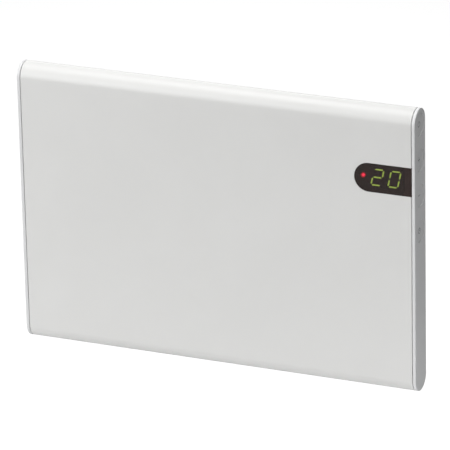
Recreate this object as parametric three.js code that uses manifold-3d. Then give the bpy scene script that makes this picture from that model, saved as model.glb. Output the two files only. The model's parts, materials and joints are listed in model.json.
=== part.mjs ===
// Slim wall panel convector heater with rounded top and bottom, a flush dark display window at the
// right of its front, four push buttons on its right end cap and a wall bracket that it hooks onto.
// Millimetres, +X to the viewer's right, -Y towards the room, +Z up. The origin is the centre of the
// wall bracket's back face, on the wall plane.
import * as THREE from 'three';
import { mergeVertices } from 'three/addons/utils/BufferGeometryUtils.js';
import Module from 'manifold-3d';

const wasm = await Module();
wasm.setup();

// ---------------------------------------------------------------- driving dimensions

const WIDTH = 530; // over both end caps
const HEIGHT = 370; // over the rounded top and bottom
const DEPTH = 37; // casing, front face to rear face
const WALL_GAP = 38; // wall plane to the casing's rear face
const SHEET = 1.2; // steel of the front and back panels
const FIT = 0.3; // gap between two pieces that seat on each other
const SEAM = 0.6; // visible joint between neighbouring casing pieces
const OVERCUT = 1; // how far a cutting tool runs past the faces that it cuts
const LAP = 0.5; // how far the joined shapes of one piece run into each other

const CAP_STRIP = 4.8; // edge of an end cap that shows from the front
const CAP_FACE = 2.4; // wall thickness of an end cap's outer face
const CAP_EDGE = 0.9; // rounding of that face's edge
const SPIGOT_REACH = 9; // how far an end cap's spigot enters the casing
const SPIGOT_WALL = 1.8;
const CAP_RELIEF = 1.2; // flat recess along an end cap's rear edge
const CAP_RELIEF_START = 19; // height of that recess's lower end above the heater's bottom

const OPEN_ANGLE = 35; // degrees past the crest where the front panel ends, above and below
const LAP_ANGLE = 9; // degrees that the back panel's joggled lip runs under the front panel
const JOGGLE_ANGLE = 4; // degrees that the joggle takes

const SLOT_WIDTH = 6;
const SLOT_PITCH = 27;
const SLOT_RISE = 12; // how far a slot runs into the rounded edge
const SLOT_DROP = 28; // how far it runs down, or up, the flat rear
const SLOT_MARGIN = 13; // from the slot field's ends to the neighbouring piece

const WINDOW_REACH = 78.3; // window's tip to the right end of the heater
const WINDOW_HEIGHT = 37.3;
const WINDOW_UP = 280; // window's centre above the heater's bottom
const WINDOW_RIM = 3; // rim of the window behind the front panel
const WINDOW_RIM_SHEET = 1.2;

const BUTTON_RADIUS = 14;
const BUTTON_PITCH = 46;
const BUTTON_DROP = 20.5; // centre of the top button below the heater's top
const BUTTON_PLAY = 0.35; // radial gap round a button
const BUTTON_DISH = 0.9; // depth of the finger dish
const BUTTON_FLANGE = 1.2; // width and thickness of the flange that keeps a button in
const BUTTON_EDGE = 0.6; // chamfer of a button's edge
const BUTTON_LAND = 1.6; // flat ring round the dish
const BUTTON_TRAVEL = 0.8;
const BUTTON_SLACK = 0.05; // stem to plunger, over the travel
const BUTTON_STEM = 3; // radius
const COLLAR_WALL = 1;
const COLLAR_REACH = 5.4; // collar length behind the cap's face

const KEY_BOARD_INSET = 14; // heater's right end to the key board's near face
const KEY_BOARD_DEPTH = 22;
const BOARD_SHEET = 1.6;
const SWITCH_SIZE = 6;
const SWITCH_HEIGHT = 3.5;
const PLUNGER_RADIUS = 1.7;
const PLUNGER_RISE = 1.2;
const PILLAR_RADIUS = 2.4;
const PILOT_DEPTH = 5; // screw hole in a pillar

const BOARD_HOLE = 1.7; // radius of a board's screw hole
const SCREW_SHANK = 1.4; // radius of a board screw

const PARTITION_INSET = 125; // heater's right end to the partition
const PARTITION_SHEET = 1;
const PARTITION_FOOT = 14;
const PARTITION_FOOT_HEIGHT = 240;
const GROMMET_HOLE = 7; // radius
const GROMMET_BORE = 4.6;
const GROMMET_LENGTH = 6;
const GROMMET_LIP = 1.4;
const GROMMET_UP = 118; // grommet's axis above the heater's bottom

const ELEMENT_UP = 82; // element's axis above the heater's bottom
const ELEMENT_HALF_DEPTH = 12.5;
const ELEMENT_HALF_HEIGHT = 26;
const ELEMENT_WALL = 1.5; // thickness of a wing
const ELEMENT_TUBE = 7; // radius of the tube that holds the rod
const ELEMENT_END_GAP = 32; // casing end, or partition, to the element's fins
const ROD_RADIUS = 4;
const ROD_OVERHANG = 15; // rod beyond the finned body
const STUD_RADIUS = 1.5;
const STUD_LENGTH = 7;
const LOUVRE_WIDTH = 5;
const LOUVRE_PITCH = 22;
const LOUVRE_FROM = 0.36; // shares of a wing's height between which its louvres lie
const LOUVRE_TO = 0.86;
const BUSH_RADIUS = 7;
const BUSH_FLANGE = 9.5;
const BUSH_LENGTH = 8;
const ELEMENT_BRACKET_SHEET = 1.2;
const ELEMENT_BRACKET_HEIGHT = 46;
const ELEMENT_BRACKET_FOOT = 10;
const ELEMENT_BRACKET_REACH = 11; // from the casing's middle plane towards the front
const BUSH_SEAT = 4; // fins' end to a bracket
const BUSH_COLLAR = 3; // bush's length on the fins' side of its bracket
const LEAD_CLEAR = 5; // leads above the fins

const CUTOUT_RADIUS = 8;
const CUTOUT_HEIGHT = 9;
const CUTOUT_AT = 60; // cut-out's axis, right of the heater's middle
const CUTOUT_CLEAR = 12; // between the fins' top and the cut-out
const BLADE_AT = 3.6; // blade's axis, left and right of the cut-out's
const BLADE_WIDTH = 2.4;
const BLADE_SHEET = 0.8;
const BLADE_LENGTH = 4;
const STRAP_SHEET = 1;
const STRAP_MARGIN = 3; // strap beyond the cut-out's can
const STRAP_ARM = 12; // strap's arm above the can
const STRAP_FOOT = 10;

const POST_AT = 115; // post's centre line, left and right of the middle
const POST_WIDTH = 34;
const POST_SHEET = 2;
const POST_DEPTH = 10; // side flange of a post
const POST_TOP = 150;
const POST_CORNER = 4; // slope of a flange's upper corner
const POST_FOOT = 24; // post's lower end below the hinge axis
const FLANGE_EASE = 34; // height over which a flange narrows towards its hook
const CATCH_EASE = 12; // height over which a flange widens towards the clip
const CROSS_HEIGHT = 60;
const CROSS_LIP = 8;
const SCREW_SLOT_WIDTH = 6;
const SCREW_SLOT_LENGTH = 14;
const SCREW_SLOT_UP = 75;
const CROSS_SLOT_AT = 50;

const PIVOT_UP = 55; // hinge axis above the heater's bottom
const PIVOT_STANDOFF = 9; // hinge axis behind the casing's rear face
const PIN_RADIUS = 3;
const HOOK_RADIUS = 6.2;
const HOOK_RISE = 7.2; // hook's lip above the hinge axis
const HOOK_EASE = 2; // taper of the hook's mouth
const PIN_HEAD = 1.2; // width of a pin head's rim
const PIN_HEAD_RISE = 1.5;
const FOOT_SHEET = 2;
const EAR_GAP = 1.5; // between a post's flange and an ear
const FOOT_HEIGHT = 40;

const CATCH_UP = 305; // catch tongue above the heater's bottom
const TONGUE_SHEET = 2;
const TONGUE_WIDTH = 18;
const TONGUE_REACH = 14;
const TONGUE_PLATE = 26;
const CATCH_GAP = 0.5; // between the tongue and each leaf
const CLIP_SHEET = 0.8;
const CLIP_WIDTH = 22;
const CLIP_LEAF = 11; // straight part of a leaf
const CLIP_FLARE = 2.4; // outward bend of its mouth
const BRIDGE_FACE = 20; // wall plane to the face that carries the clip
const BRIDGE_HEIGHT = 32;

const GLAND_INSET = 52; // gland's axis from the right end of the heater
const GLAND_UP = 36; // and above its bottom
const GLAND_RADIUS = 7;
const GLAND_FLANGE = 11;
const GLAND_TAIL = 12; // reach behind the casing
const GLAND_BORE = 3.6;
const GLAND_DOME = 4; // height at which the gland's tail starts to taper
const GLAND_THREAD = 8; // length inside the casing
const NUT_HEIGHT = 4;
const NUT_RADIUS = 12; // over its corners

const CARRIER_SHEET = 2;
const CARRIER_INSET = 22; // right end of the heater to the carrier
const CARRIER_WIDTH = 96;
const CARRIER_LOW = 18; // above the heater's bottom
const CARRIER_HIGH = 304;
const CARRIER_RIB = 6;
const CARRIER_ARM_UP = 8; // sensor's arm above the carrier's lower edge
const PILLAR_ROOT = 4.2; // radii of the carrier's tapered pillars
const PILLAR_TIP = 3;
const PILLAR_INSET = 4; // display board's edges to its screws
const POWER_PILLAR_INSET = 6;
const POWER_BOARD_INSET = 4; // carrier's right edge to the power board
const POWER_BOARD_LIFT = 5; // pillars under the power board
const POWER_BOARD_WIDTH = 86;
const POWER_BOARD_HEIGHT = 112;
const POWER_BOARD_LOW = 62;
const DISPLAY_BOARD_SETBACK = 10.6; // front face of the heater to the display board
const DISPLAY_BOARD_WIDTH = 56;
const DISPLAY_BOARD_HEIGHT = 33;
const DISPLAY_BOARD_GAP = 2; // between the display board and the key board
const DIGIT_BLOCK_WIDTH = 41;
const DIGIT_BLOCK_HEIGHT = 26;
const DIGIT_BLOCK_SETBACK = 3.4; // front face of the heater to the digits' face
const LED_REACH = 69.5; // status lamp's axis from the right end of the heater
const LED_RADIUS = 2.5;
const LED_FLANGE = 0.5;
const BLOCK_CHAMFER = 0.6;

// Pieces on the power board, measured from its lower left corner, and their rises from its face.
const CORE = { x: [44, 78], z: [18, 44], rise: 19 };
const COIL = { x: [49, 73], z: [12, 50], rise: 21.5 };
const RELAY = { x: [12, 28], z: [70, 98], rise: 15.5, edge: 0.8 };
const CAPACITOR = { x: 58, z: 76, rise: 19, radius: 6.5 };
const ELEMENT_PADS = { x: 6, live: 58, neutral: 46 };
const SENSOR_PAD = { x: 80, z: 8 };
const SUPPLY_PAD_Z = 9;
const KEY_PAD = { x: 72, z: 88 };

const TERMINAL_LENGTH = 30;
const TERMINAL_HEIGHT = 16;
const TERMINAL_DEPTH = 13;
const TERMINAL_DROP = 8; // power board's lower edge to the block
const TERMINAL_SCREW = 2.4; // radii of a pole's screw well and wire entries
const TERMINAL_ENTRY = 2;
const TERMINAL_ENTRY_DEPTH = 5;
const SENSOR_INSET = 7; // carrier's right edge to the sensor
const SENSOR_RADIUS = 2.2;
const LEAD_RADIUS = 1.1;
const RIBBON_SHEET = 0.8;
const RIBBON_WIDTH = 12;
const CASE_SCREW_HEAD = 3.6;
const CASE_SCREW_SHANK = 1.6;
const CASE_SCREW_LENGTH = 9;
const BOSS_SIZE = 8;
const BOSS_REACH = 11;
const BOSS_FLOOR = 1.5; // left at the bottom of a boss's pilot hole
const BOSS_CLEAR = 1; // spigot's end to a boss
const CASE_SCREW_RISE = 2.2;
const CASE_SCREW_LOW = 62; // lower end-cap screw above the heater's bottom

// ---------------------------------------------------------------- derived places

const HALF = WIDTH / 2;
const FRONT_Y = -(WALL_GAP + DEPTH);
const REAR_Y = -WALL_GAP;
const MID_Y = (FRONT_Y + REAR_Y) / 2;
const BOTTOM_Z = -HEIGHT / 2;
const TOP_Z = HEIGHT / 2;
const END_RADIUS = DEPTH / 2;
const ARC_TOP_Z = TOP_Z - END_RADIUS;
const ARC_BOTTOM_Z = BOTTOM_Z + END_RADIUS;
const INNER_FRONT_Y = FRONT_Y + SHEET;
const INNER_REAR_Y = REAR_Y - SHEET;
const PANEL_HALF = HALF - CAP_STRIP - SEAM;
const SPIGOT_END = HALF - CAP_STRIP - SPIGOT_REACH;
const SPIGOT_INSET = SHEET + FIT;
const BACK_OPEN = OPEN_ANGLE + THREE.MathUtils.radToDeg(SEAM / END_RADIUS);
const WINDOW_Z = BOTTOM_Z + WINDOW_UP;
const BUTTON_Z = [0, 1, 2, 3].map((i) => TOP_Z - BUTTON_DROP - i * BUTTON_PITCH);
const KEY_BOARD_X = HALF - KEY_BOARD_INSET;
const PARTITION_X = HALF - PARTITION_INSET;
const GROMMET_Z = BOTTOM_Z + GROMMET_UP;
const ELEMENT_Z = BOTTOM_Z + ELEMENT_UP;
const ELEMENT_LEFT = -HALF + ELEMENT_END_GAP;
const ELEMENT_RIGHT = PARTITION_X - ELEMENT_END_GAP;
const PIVOT_Y = REAR_Y + PIVOT_STANDOFF;
const PIVOT_Z = BOTTOM_Z + PIVOT_UP;
const CATCH_Z = BOTTOM_Z + CATCH_UP;
const GLAND_X = HALF - GLAND_INSET;
const GLAND_Z = BOTTOM_Z + GLAND_UP;
const CARRIER_RIGHT = HALF - CARRIER_INSET;
const CARRIER_LEFT = CARRIER_RIGHT - CARRIER_WIDTH;
const CARRIER_BACK_Y = INNER_REAR_Y - FIT;
const CARRIER_FACE_Y = CARRIER_BACK_Y - CARRIER_SHEET;
const POWER_BOARD_BACK_Y = CARRIER_FACE_Y - POWER_BOARD_LIFT - FIT;
const POWER_BOARD_FACE_Y = POWER_BOARD_BACK_Y - BOARD_SHEET;
const POWER_BOARD_RIGHT = CARRIER_RIGHT - POWER_BOARD_INSET;
const POWER_BOARD_LEFT = POWER_BOARD_RIGHT - POWER_BOARD_WIDTH;
const POWER_BOARD_Z = BOTTOM_Z + POWER_BOARD_LOW;
const DISPLAY_BOARD_FACE_Y = FRONT_Y + DISPLAY_BOARD_SETBACK;
const DISPLAY_BOARD_BACK_Y = DISPLAY_BOARD_FACE_Y + BOARD_SHEET;
const DISPLAY_BOARD_RIGHT = KEY_BOARD_X - BOARD_SHEET - DISPLAY_BOARD_GAP;
const DISPLAY_BOARD_LEFT = DISPLAY_BOARD_RIGHT - DISPLAY_BOARD_WIDTH;
const CASE_SCREW_Z = [(BUTTON_Z[0] + BUTTON_Z[1]) / 2, BOTTOM_Z + CASE_SCREW_LOW];
const BOSS_X = SPIGOT_END + BOSS_CLEAR + BOSS_SIZE / 2;
const SENSOR_X = CARRIER_RIGHT - SENSOR_INSET;
const SENSOR_Z = BOTTOM_Z + CARRIER_LOW;

// ---------------------------------------------------------------- shape helpers

const X_AXIS = new THREE.Vector3(1, 0, 0);
const Y_AXIS = new THREE.Vector3(0, 1, 0);
const Z_AXIS = new THREE.Vector3(0, 0, 1);
const PROFILE_YZ = new THREE.Matrix4().makeBasis(Y_AXIS, Z_AXIS, X_AXIS);
const PROFILE_XZ = new THREE.Matrix4().makeBasis(X_AXIS, Z_AXIS, Y_AXIS.clone().negate());
const TURN_TO_X = new THREE.Matrix4().makeBasis(Y_AXIS, X_AXIS, Z_AXIS.clone().negate());
const TURN_TO_REAR = new THREE.Matrix4().makeBasis(X_AXIS.clone().negate(), Y_AXIS, Z_AXIS.clone().negate());
const rad = THREE.MathUtils.degToRad;

/** Closed mesh to boolean solid, turned outwards if its winding was inward. */
function solid(geometry) {
  const bare = geometry.clone();
  bare.deleteAttribute('normal');
  bare.deleteAttribute('uv');
  const merged = mergeVertices(bare, 1e-4);
  const triVerts = new Uint32Array(merged.index.array);
  const at = merged.attributes.position.array;
  if (signedVolume(at, triVerts) < 0) {
    for (let i = 0; i < triVerts.length; i += 3) {
      [triVerts[i], triVerts[i + 1]] = [triVerts[i + 1], triVerts[i]];
    }
  }
  return new wasm.Manifold(new wasm.Mesh({ numProp: 3, vertProperties: new Float32Array(at), triVerts }));
}

function signedVolume(at, triangles) {
  const corner = [0, 1, 2].map(() => new THREE.Vector3());
  let volume = 0;
  for (let i = 0; i < triangles.length; i += 3) {
    corner.forEach((c, k) => c.fromArray(at, 3 * triangles[i + k]));
    volume += corner[0].dot(corner[1].clone().cross(corner[2])) / 6;
  }
  return volume;
}

function toGeometry(body) {
  const mesh = body.getMesh();
  const geometry = new THREE.BufferGeometry();
  geometry.setAttribute('position', new THREE.BufferAttribute(new Float32Array(mesh.vertProperties), 3));
  geometry.setIndex(new THREE.BufferAttribute(new Uint32Array(mesh.triVerts), 1));
  geometry.computeVertexNormals();
  return geometry;
}

const union = (...bodies) => bodies.flat().reduce((a, b) => a.add(b));
const cut = (body, ...tools) => tools.flat().reduce((a, b) => a.subtract(b), body);

function extrude(shape, depth, segments, bevel = {}) {
  return new THREE.ExtrudeGeometry(shape, { depth, curveSegments: segments, bevelEnabled: false, ...bevel });
}

/** A profile drawn in (y, z), swept along X from x0 to x1. */
function sweepX(shape, x0, x1, segments = 8) {
  const low = Math.min(x0, x1);
  return solid(extrude(shape, Math.abs(x1 - x0), segments).applyMatrix4(PROFILE_YZ).translate(low, 0, 0));
}

/** A profile drawn in (x, z), swept along Y from y0 to y1. */
function sweepY(shape, y0, y1, segments = 8) {
  const high = Math.max(y0, y1);
  return solid(extrude(shape, Math.abs(y1 - y0), segments).applyMatrix4(PROFILE_XZ).translate(0, high, 0));
}

function box(x, y, z) {
  const size = [x, y, z].map(([a, b]) => Math.abs(b - a));
  const centre = [x, y, z].map(([a, b]) => (a + b) / 2);
  return solid(new THREE.BoxGeometry(...size).translate(...centre));
}

/** A body of revolution from (radius, height) points; its height runs along +X, +Y or +Z. */
function revolve(points, axis, at, segments = 12) {
  const profile = points.map(([r, h]) => new THREE.Vector2(r, h));
  const geometry = new THREE.LatheGeometry(profile, segments);
  if (axis === 'x') geometry.applyMatrix4(TURN_TO_X);
  if (axis === 'y') geometry.applyMatrix4(TURN_TO_REAR);
  if (axis === 'z') geometry.rotateX(Math.PI / 2);
  return solid(geometry.translate(...at));
}

const rod = (radius, from, to, axis, at, segments) =>
  revolve([[0, from], [radius, from], [radius, to], [0, to]], axis, at, segments);

function polygon(points) {
  return new THREE.Shape(points.map(([a, b]) => new THREE.Vector2(a, b)));
}

function rectangle(a0, a1, b0, b1) {
  return polygon([[a0, b0], [a1, b0], [a1, b1], [a0, b1]]);
}

/** An upright slot with round ends. */
function slot(centreA, lowB, highB, width) {
  const r = width / 2;
  const shape = new THREE.Shape();
  shape.moveTo(centreA + r, lowB + r);
  shape.lineTo(centreA + r, highB - r);
  shape.absarc(centreA, highB - r, r, 0, Math.PI, false);
  shape.lineTo(centreA - r, lowB + r);
  shape.absarc(centreA, lowB + r, r, Math.PI, 2 * Math.PI, false);
  return shape;
}

/** The casing's outline in (y, z), drawn in by an inset. */
const casingOutline = (inset) =>
  slot(MID_Y, BOTTOM_Z + inset, TOP_Z - inset, DEPTH - 2 * inset);

/** Part of a ring in (y, z), between two radii and two angles counted from +Y. */
function ringSector(centreZ, outer, inner, from, to) {
  const shape = new THREE.Shape();
  shape.absarc(MID_Y, centreZ, outer, from, to, false);
  shape.absarc(MID_Y, centreZ, inner, to, from, true);
  return shape;
}

/** A round insulated wire along hand-set points. */
function lead(points, steps = 22, radius = LEAD_RADIUS) {
  const path = new THREE.CatmullRomCurve3(points.map((p) => new THREE.Vector3(...p)), false, 'centripetal');
  const section = polygon([0, 1, 2, 3, 4].map((i) => {
    const a = (i * 2 * Math.PI) / 5;
    return [radius * Math.cos(a), radius * Math.sin(a)];
  }));
  return solid(new THREE.ExtrudeGeometry(section, { steps, extrudePath: path, bevelEnabled: false }));
}

// ---------------------------------------------------------------- materials and scene graph

function material(color, roughness, metalness) {
  return new THREE.MeshStandardMaterial({ color, roughness, metalness });
}

const FINISH = {
  white_steel: material(0xeeeeec, 0.42, 0),
  white_plastic: material(0xececec, 0.4, 0),
  smoked_window: material(0x231b1b, 0.12, 0),
  zinc_steel: material(0xb9bcbe, 0.4, 0.9),
  spring_steel: material(0x9a9da0, 0.3, 0.9),
  fin_aluminium: material(0xc9ccce, 0.35, 0.9),
  rod_steel: material(0x8b8578, 0.4, 0.9),
  black_plastic: material(0x222324, 0.5, 0),
  board_green: material(0x1d5a35, 0.5, 0),
  ceramic: material(0xe6e0d2, 0.6, 0),
  lamp_red: material(0xd21530, 0.25, 0),
  wire_brown: material(0x7d4a35, 0.6, 0),
  wire_blue: material(0x2b4f8f, 0.6, 0),
  wire_earth: material(0x6f8f2a, 0.6, 0),
  ribbon_grey: material(0xa7a9ab, 0.6, 0),
  rubber: material(0x1b1b1b, 0.8, 0),
};

const heater = new THREE.Group();

function add(name, body, finish) {
  const mesh = new THREE.Mesh(toGeometry(body), FINISH[finish]);
  mesh.name = name;
  heater.add(mesh);
}

// ---------------------------------------------------------------- casing panels

/** Window outline in (x, z): a round left end and a straight right end. */
function windowOutline(grow, right) {
  const r = WINDOW_HEIGHT / 2 + grow;
  const centre = HALF - WINDOW_REACH + WINDOW_HEIGHT / 2;
  const shape = new THREE.Shape();
  shape.moveTo(right, WINDOW_Z - r);
  shape.lineTo(right, WINDOW_Z + r);
  shape.absarc(centre, WINDOW_Z, r, Math.PI / 2, 1.5 * Math.PI, false);
  return shape;
}

function frontPanel() {
  const inner = END_RADIUS - SHEET;
  const start = rad(90 - OPEN_ANGLE);
  const end = rad(270 + OPEN_ANGLE);
  const profile = new THREE.Shape();
  profile.absarc(MID_Y, ARC_TOP_Z, END_RADIUS, start, Math.PI, false);
  profile.absarc(MID_Y, ARC_BOTTOM_Z, END_RADIUS, Math.PI, end, false);
  profile.absarc(MID_Y, ARC_BOTTOM_Z, inner, end, Math.PI, true);
  profile.absarc(MID_Y, ARC_TOP_Z, inner, Math.PI, start, true);
  const notch = sweepY(windowOutline(0, HALF), FRONT_Y - OVERCUT, INNER_FRONT_Y + OVERCUT, 8);
  return cut(sweepX(profile, -PANEL_HALF, PANEL_HALF, 10), notch);
}

function backPanel() {
  const edge = rad(90 - BACK_OPEN);
  const profile = new THREE.Shape();
  profile.absarc(MID_Y, ARC_BOTTOM_Z, END_RADIUS, -edge, 0, false);
  profile.absarc(MID_Y, ARC_TOP_Z, END_RADIUS, 0, edge, false);
  profile.absarc(MID_Y, ARC_TOP_Z, END_RADIUS - SHEET, edge, 0, true);
  profile.absarc(MID_Y, ARC_BOTTOM_Z, END_RADIUS - SHEET, 0, -edge, true);
  const lipOuter = END_RADIUS - SHEET - FIT;
  const lipInner = lipOuter - SHEET;
  const lipFrom = edge - rad(2 * JOGGLE_ANGLE);
  const lipTo = edge + rad(LAP_ANGLE);
  const joggleTo = edge - rad(JOGGLE_ANGLE);
  const lipHalf = SPIGOT_END - FIT;
  const lips = [[ARC_TOP_Z, 1], [ARC_BOTTOM_Z, -1]].flatMap(([centre, side]) => {
    const sector = (outer, inner, a, b) =>
      ringSector(centre, outer, inner, Math.min(side * a, side * b), Math.max(side * a, side * b));
    return [
      sweepX(sector(lipOuter, lipInner, lipFrom, lipTo), -lipHalf, lipHalf, 1),
      sweepX(sector(END_RADIUS - SHEET / 2, lipInner, lipFrom, joggleTo), -lipHalf, lipHalf, 1),
    ];
  });
  const holes = [
    ...ventSlots(),
    rod(GLAND_RADIUS + FIT, REAR_Y - 2 * SHEET, REAR_Y + SHEET, 'y', [GLAND_X, 0, GLAND_Z]),
    ...caseScrewPlaces().map(([x, z]) =>
      rod(CASE_SCREW_SHANK + FIT, REAR_Y - 2 * SHEET, REAR_Y + SHEET, 'y', [x, 0, z], 8)),
  ];
  return cut(union(sweepX(profile, -PANEL_HALF, PANEL_HALF, 2), lips), holes);
}

/** Rows of upright slots, air out above and air in below, over the element's chamber. */
function ventSlots() {
  const left = -SPIGOT_END + SLOT_MARGIN;
  const right = PARTITION_X - SLOT_MARGIN;
  const count = Math.floor((right - left) / SLOT_PITCH) + 1;
  const start = (left + right - (count - 1) * SLOT_PITCH) / 2;
  const behind = REAR_Y + OVERCUT;
  const within = MID_Y + Math.sqrt(END_RADIUS ** 2 - SLOT_RISE ** 2) - 2 * SHEET;
  return Array.from({ length: count }, (_, i) => start + i * SLOT_PITCH).flatMap((x) => [
    sweepY(slot(x, ARC_TOP_Z - SLOT_DROP, ARC_TOP_Z + SLOT_RISE, SLOT_WIDTH), within, behind, 1),
    sweepY(slot(x, ARC_BOTTOM_Z - SLOT_RISE, ARC_BOTTOM_Z + SLOT_DROP, SLOT_WIDTH), within, behind, 1),
  ]);
}

function caseScrewPlaces() {
  return [-1, 1].flatMap((side) => CASE_SCREW_Z.map((z) => [side * BOSS_X, z]));
}

// ---------------------------------------------------------------- end caps and buttons

/** An end cap without its button openings; side is 1 on the right and -1 on the left. */
function plainCap(side) {
  const at = (inset) => side * (HALF - inset);
  const rounding = {
    bevelEnabled: true, bevelThickness: CAP_EDGE, bevelSize: CAP_EDGE, bevelOffset: -CAP_EDGE,
    bevelSegments: 2,
  };
  const rounded = extrude(casingOutline(0), CAP_STRIP - 2 * CAP_EDGE, 7, rounding)
    .applyMatrix4(PROFILE_YZ)
    .translate(Math.min(at(CAP_STRIP), at(0)) + CAP_EDGE, 0, 0);
  const square = sweepX(casingOutline(0), at(CAP_STRIP), at(CAP_STRIP / 2), 7);
  const spigot = sweepX(casingOutline(SPIGOT_INSET), at(CAP_STRIP + SPIGOT_REACH), at(CAP_STRIP / 2), 4);
  const cavityInset = SPIGOT_INSET + SPIGOT_WALL;
  const cavity = sweepX(casingOutline(cavityInset), at(CAP_STRIP + SPIGOT_REACH + OVERCUT), at(CAP_FACE), 4);
  const relief = box(
    [at(CAP_STRIP + FIT), at(-OVERCUT)],
    [REAR_Y - CAP_RELIEF, REAR_Y + OVERCUT],
    [BOTTOM_Z + CAP_RELIEF_START, TOP_Z + OVERCUT],
  );
  const bosses = CASE_SCREW_Z.map((z) => screwBoss(side, z));
  const pilotEnd = REAR_Y - SPIGOT_INSET - BOSS_REACH + BOSS_FLOOR;
  const pilots = CASE_SCREW_Z.map((z) =>
    rod(CASE_SCREW_SHANK + FIT, pilotEnd, REAR_Y, 'y', [side * BOSS_X, 0, z], 8));
  const shell = cut(union(solid(rounded), square, spigot), cavity, relief);
  return cut(union(shell, bosses), pilots);
}

function screwBoss(side, z) {
  const half = BOSS_SIZE / 2;
  const rear = REAR_Y - SPIGOT_INSET;
  return box([side * BOSS_X - half, side * BOSS_X + half], [rear - BOSS_REACH, rear], [z - half, z + half]);
}

function rightCap() {
  const face = HALF - CAP_FACE;
  const collarBore = BUTTON_RADIUS + BUTTON_FLANGE + BUTTON_PLAY;
  const collars = BUTTON_Z.map((z) =>
    rod(collarBore + COLLAR_WALL, face - COLLAR_REACH, face + CAP_FACE / 2, 'x', [0, MID_Y, z], 16));
  const bores = BUTTON_Z.map((z) =>
    rod(collarBore, face - COLLAR_REACH - OVERCUT, face, 'x', [0, MID_Y, z], 16));
  const openings = BUTTON_Z.map((z) =>
    rod(BUTTON_RADIUS + BUTTON_PLAY, face - OVERCUT, HALF + OVERCUT, 'x', [0, MID_Y, z], 20));
  const pillars = pillarHeights().map((z) =>
    rod(PILLAR_RADIUS, KEY_BOARD_X + FIT, face + CAP_FACE / 2, 'x', [0, MID_Y, z], 10));
  const pilots = pillarHeights().map((z) =>
    rod(SCREW_SHANK + FIT, KEY_BOARD_X - OVERCUT, KEY_BOARD_X + PILOT_DEPTH, 'x', [0, MID_Y, z], 8));
  return cut(union(plainCap(1), collars, pillars), bores, openings, pilots);
}

const pillarHeights = () => [1, 2].map((i) => (BUTTON_Z[i] + BUTTON_Z[i + 1]) / 2);

/** A dished button with a keeper flange and a stem that ends just short of its switch. */
function button(z) {
  const dish = [0, 0.5, 1].map((share) =>
    [share * (BUTTON_RADIUS - BUTTON_LAND), -BUTTON_DISH * (1 - share * share)]);
  const flangeTop = -(CAP_FACE + FIT);
  const flangeBottom = flangeTop - BUTTON_FLANGE;
  const stemEnd = -(KEY_BOARD_INSET - FIT - SWITCH_HEIGHT - PLUNGER_RISE - BUTTON_TRAVEL - BUTTON_SLACK);
  const points = [
    ...dish,
    [BUTTON_RADIUS - BUTTON_EDGE, 0],
    [BUTTON_RADIUS, -BUTTON_EDGE],
    [BUTTON_RADIUS, flangeTop],
    [BUTTON_RADIUS + BUTTON_FLANGE, flangeTop],
    [BUTTON_RADIUS + BUTTON_FLANGE, flangeBottom],
    [BUTTON_STEM, flangeBottom],
    [BUTTON_STEM, stemEnd],
    [0, stemEnd],
  ];
  return revolve(points, 'x', [HALF, MID_Y, z], 16);
}

function keyBoard() {
  const low = BUTTON_Z[3] - BUTTON_RADIUS;
  const high = BUTTON_Z[0] + SWITCH_SIZE;
  const half = KEY_BOARD_DEPTH / 2;
  const sheet = box([KEY_BOARD_X - BOARD_SHEET, KEY_BOARD_X], [MID_Y - half, MID_Y + half], [low, high]);
  return cut(sheet, pillarHeights().map((z) =>
    rod(BOARD_HOLE, KEY_BOARD_X - BOARD_SHEET - OVERCUT, KEY_BOARD_X + OVERCUT, 'x', [0, MID_Y, z], 8)));
}

function keySwitch(z) {
  const base = KEY_BOARD_X + FIT;
  const half = SWITCH_SIZE / 2;
  const body = box([base, base + SWITCH_HEIGHT], [MID_Y - half, MID_Y + half], [z - half, z + half]);
  const tip = base + SWITCH_HEIGHT + PLUNGER_RISE;
  return union(body, rod(PLUNGER_RADIUS, base + LAP, tip, 'x', [0, MID_Y, z], 8));
}

/** A pan-head screw; its head's seat is at the given place and its shank runs towards the front. */
function caseScrew(at) {
  const [shank, head, rise] = [CASE_SCREW_SHANK, CASE_SCREW_HEAD, CASE_SCREW_RISE];
  return revolve([
    [0, -CASE_SCREW_LENGTH], [shank * 0.6, -CASE_SCREW_LENGTH], [shank, shank - CASE_SCREW_LENGTH],
    [shank, 0], [head, 0], [head, rise * 0.5], [head * 0.7, rise], [0, rise],
  ], 'y', at, 8);
}

// ---------------------------------------------------------------- display

function displayWindow() {
  const rimFront = INNER_FRONT_Y + FIT;
  const rimBack = rimFront + WINDOW_RIM_SHEET;
  const innerRight = SPIGOT_END - FIT;
  const rim = sweepY(windowOutline(WINDOW_RIM, innerRight), rimFront, rimBack);
  const core = sweepY(windowOutline(-FIT, innerRight), FRONT_Y, rimBack);
  const lens = sweepY(windowOutline(-FIT, PANEL_HALF), FRONT_Y, INNER_FRONT_Y);
  return union(lens, core, rim);
}

function displayBoard() {
  const half = DISPLAY_BOARD_HEIGHT / 2;
  const sheet = box(
    [DISPLAY_BOARD_LEFT, DISPLAY_BOARD_RIGHT],
    [DISPLAY_BOARD_FACE_Y, DISPLAY_BOARD_BACK_Y],
    [WINDOW_Z - half, WINDOW_Z + half],
  );
  return cut(sheet, displayPillars().map(([x, z]) =>
    rod(BOARD_HOLE, DISPLAY_BOARD_FACE_Y - OVERCUT, DISPLAY_BOARD_BACK_Y + OVERCUT, 'y', [x, 0, z], 8)));
}

function displayPillars() {
  const x = DISPLAY_BOARD_LEFT + PILLAR_INSET;
  const reach = DISPLAY_BOARD_HEIGHT / 2 - PILLAR_INSET;
  return [[x, WINDOW_Z + reach], [x, WINDOW_Z - reach]];
}

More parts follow.
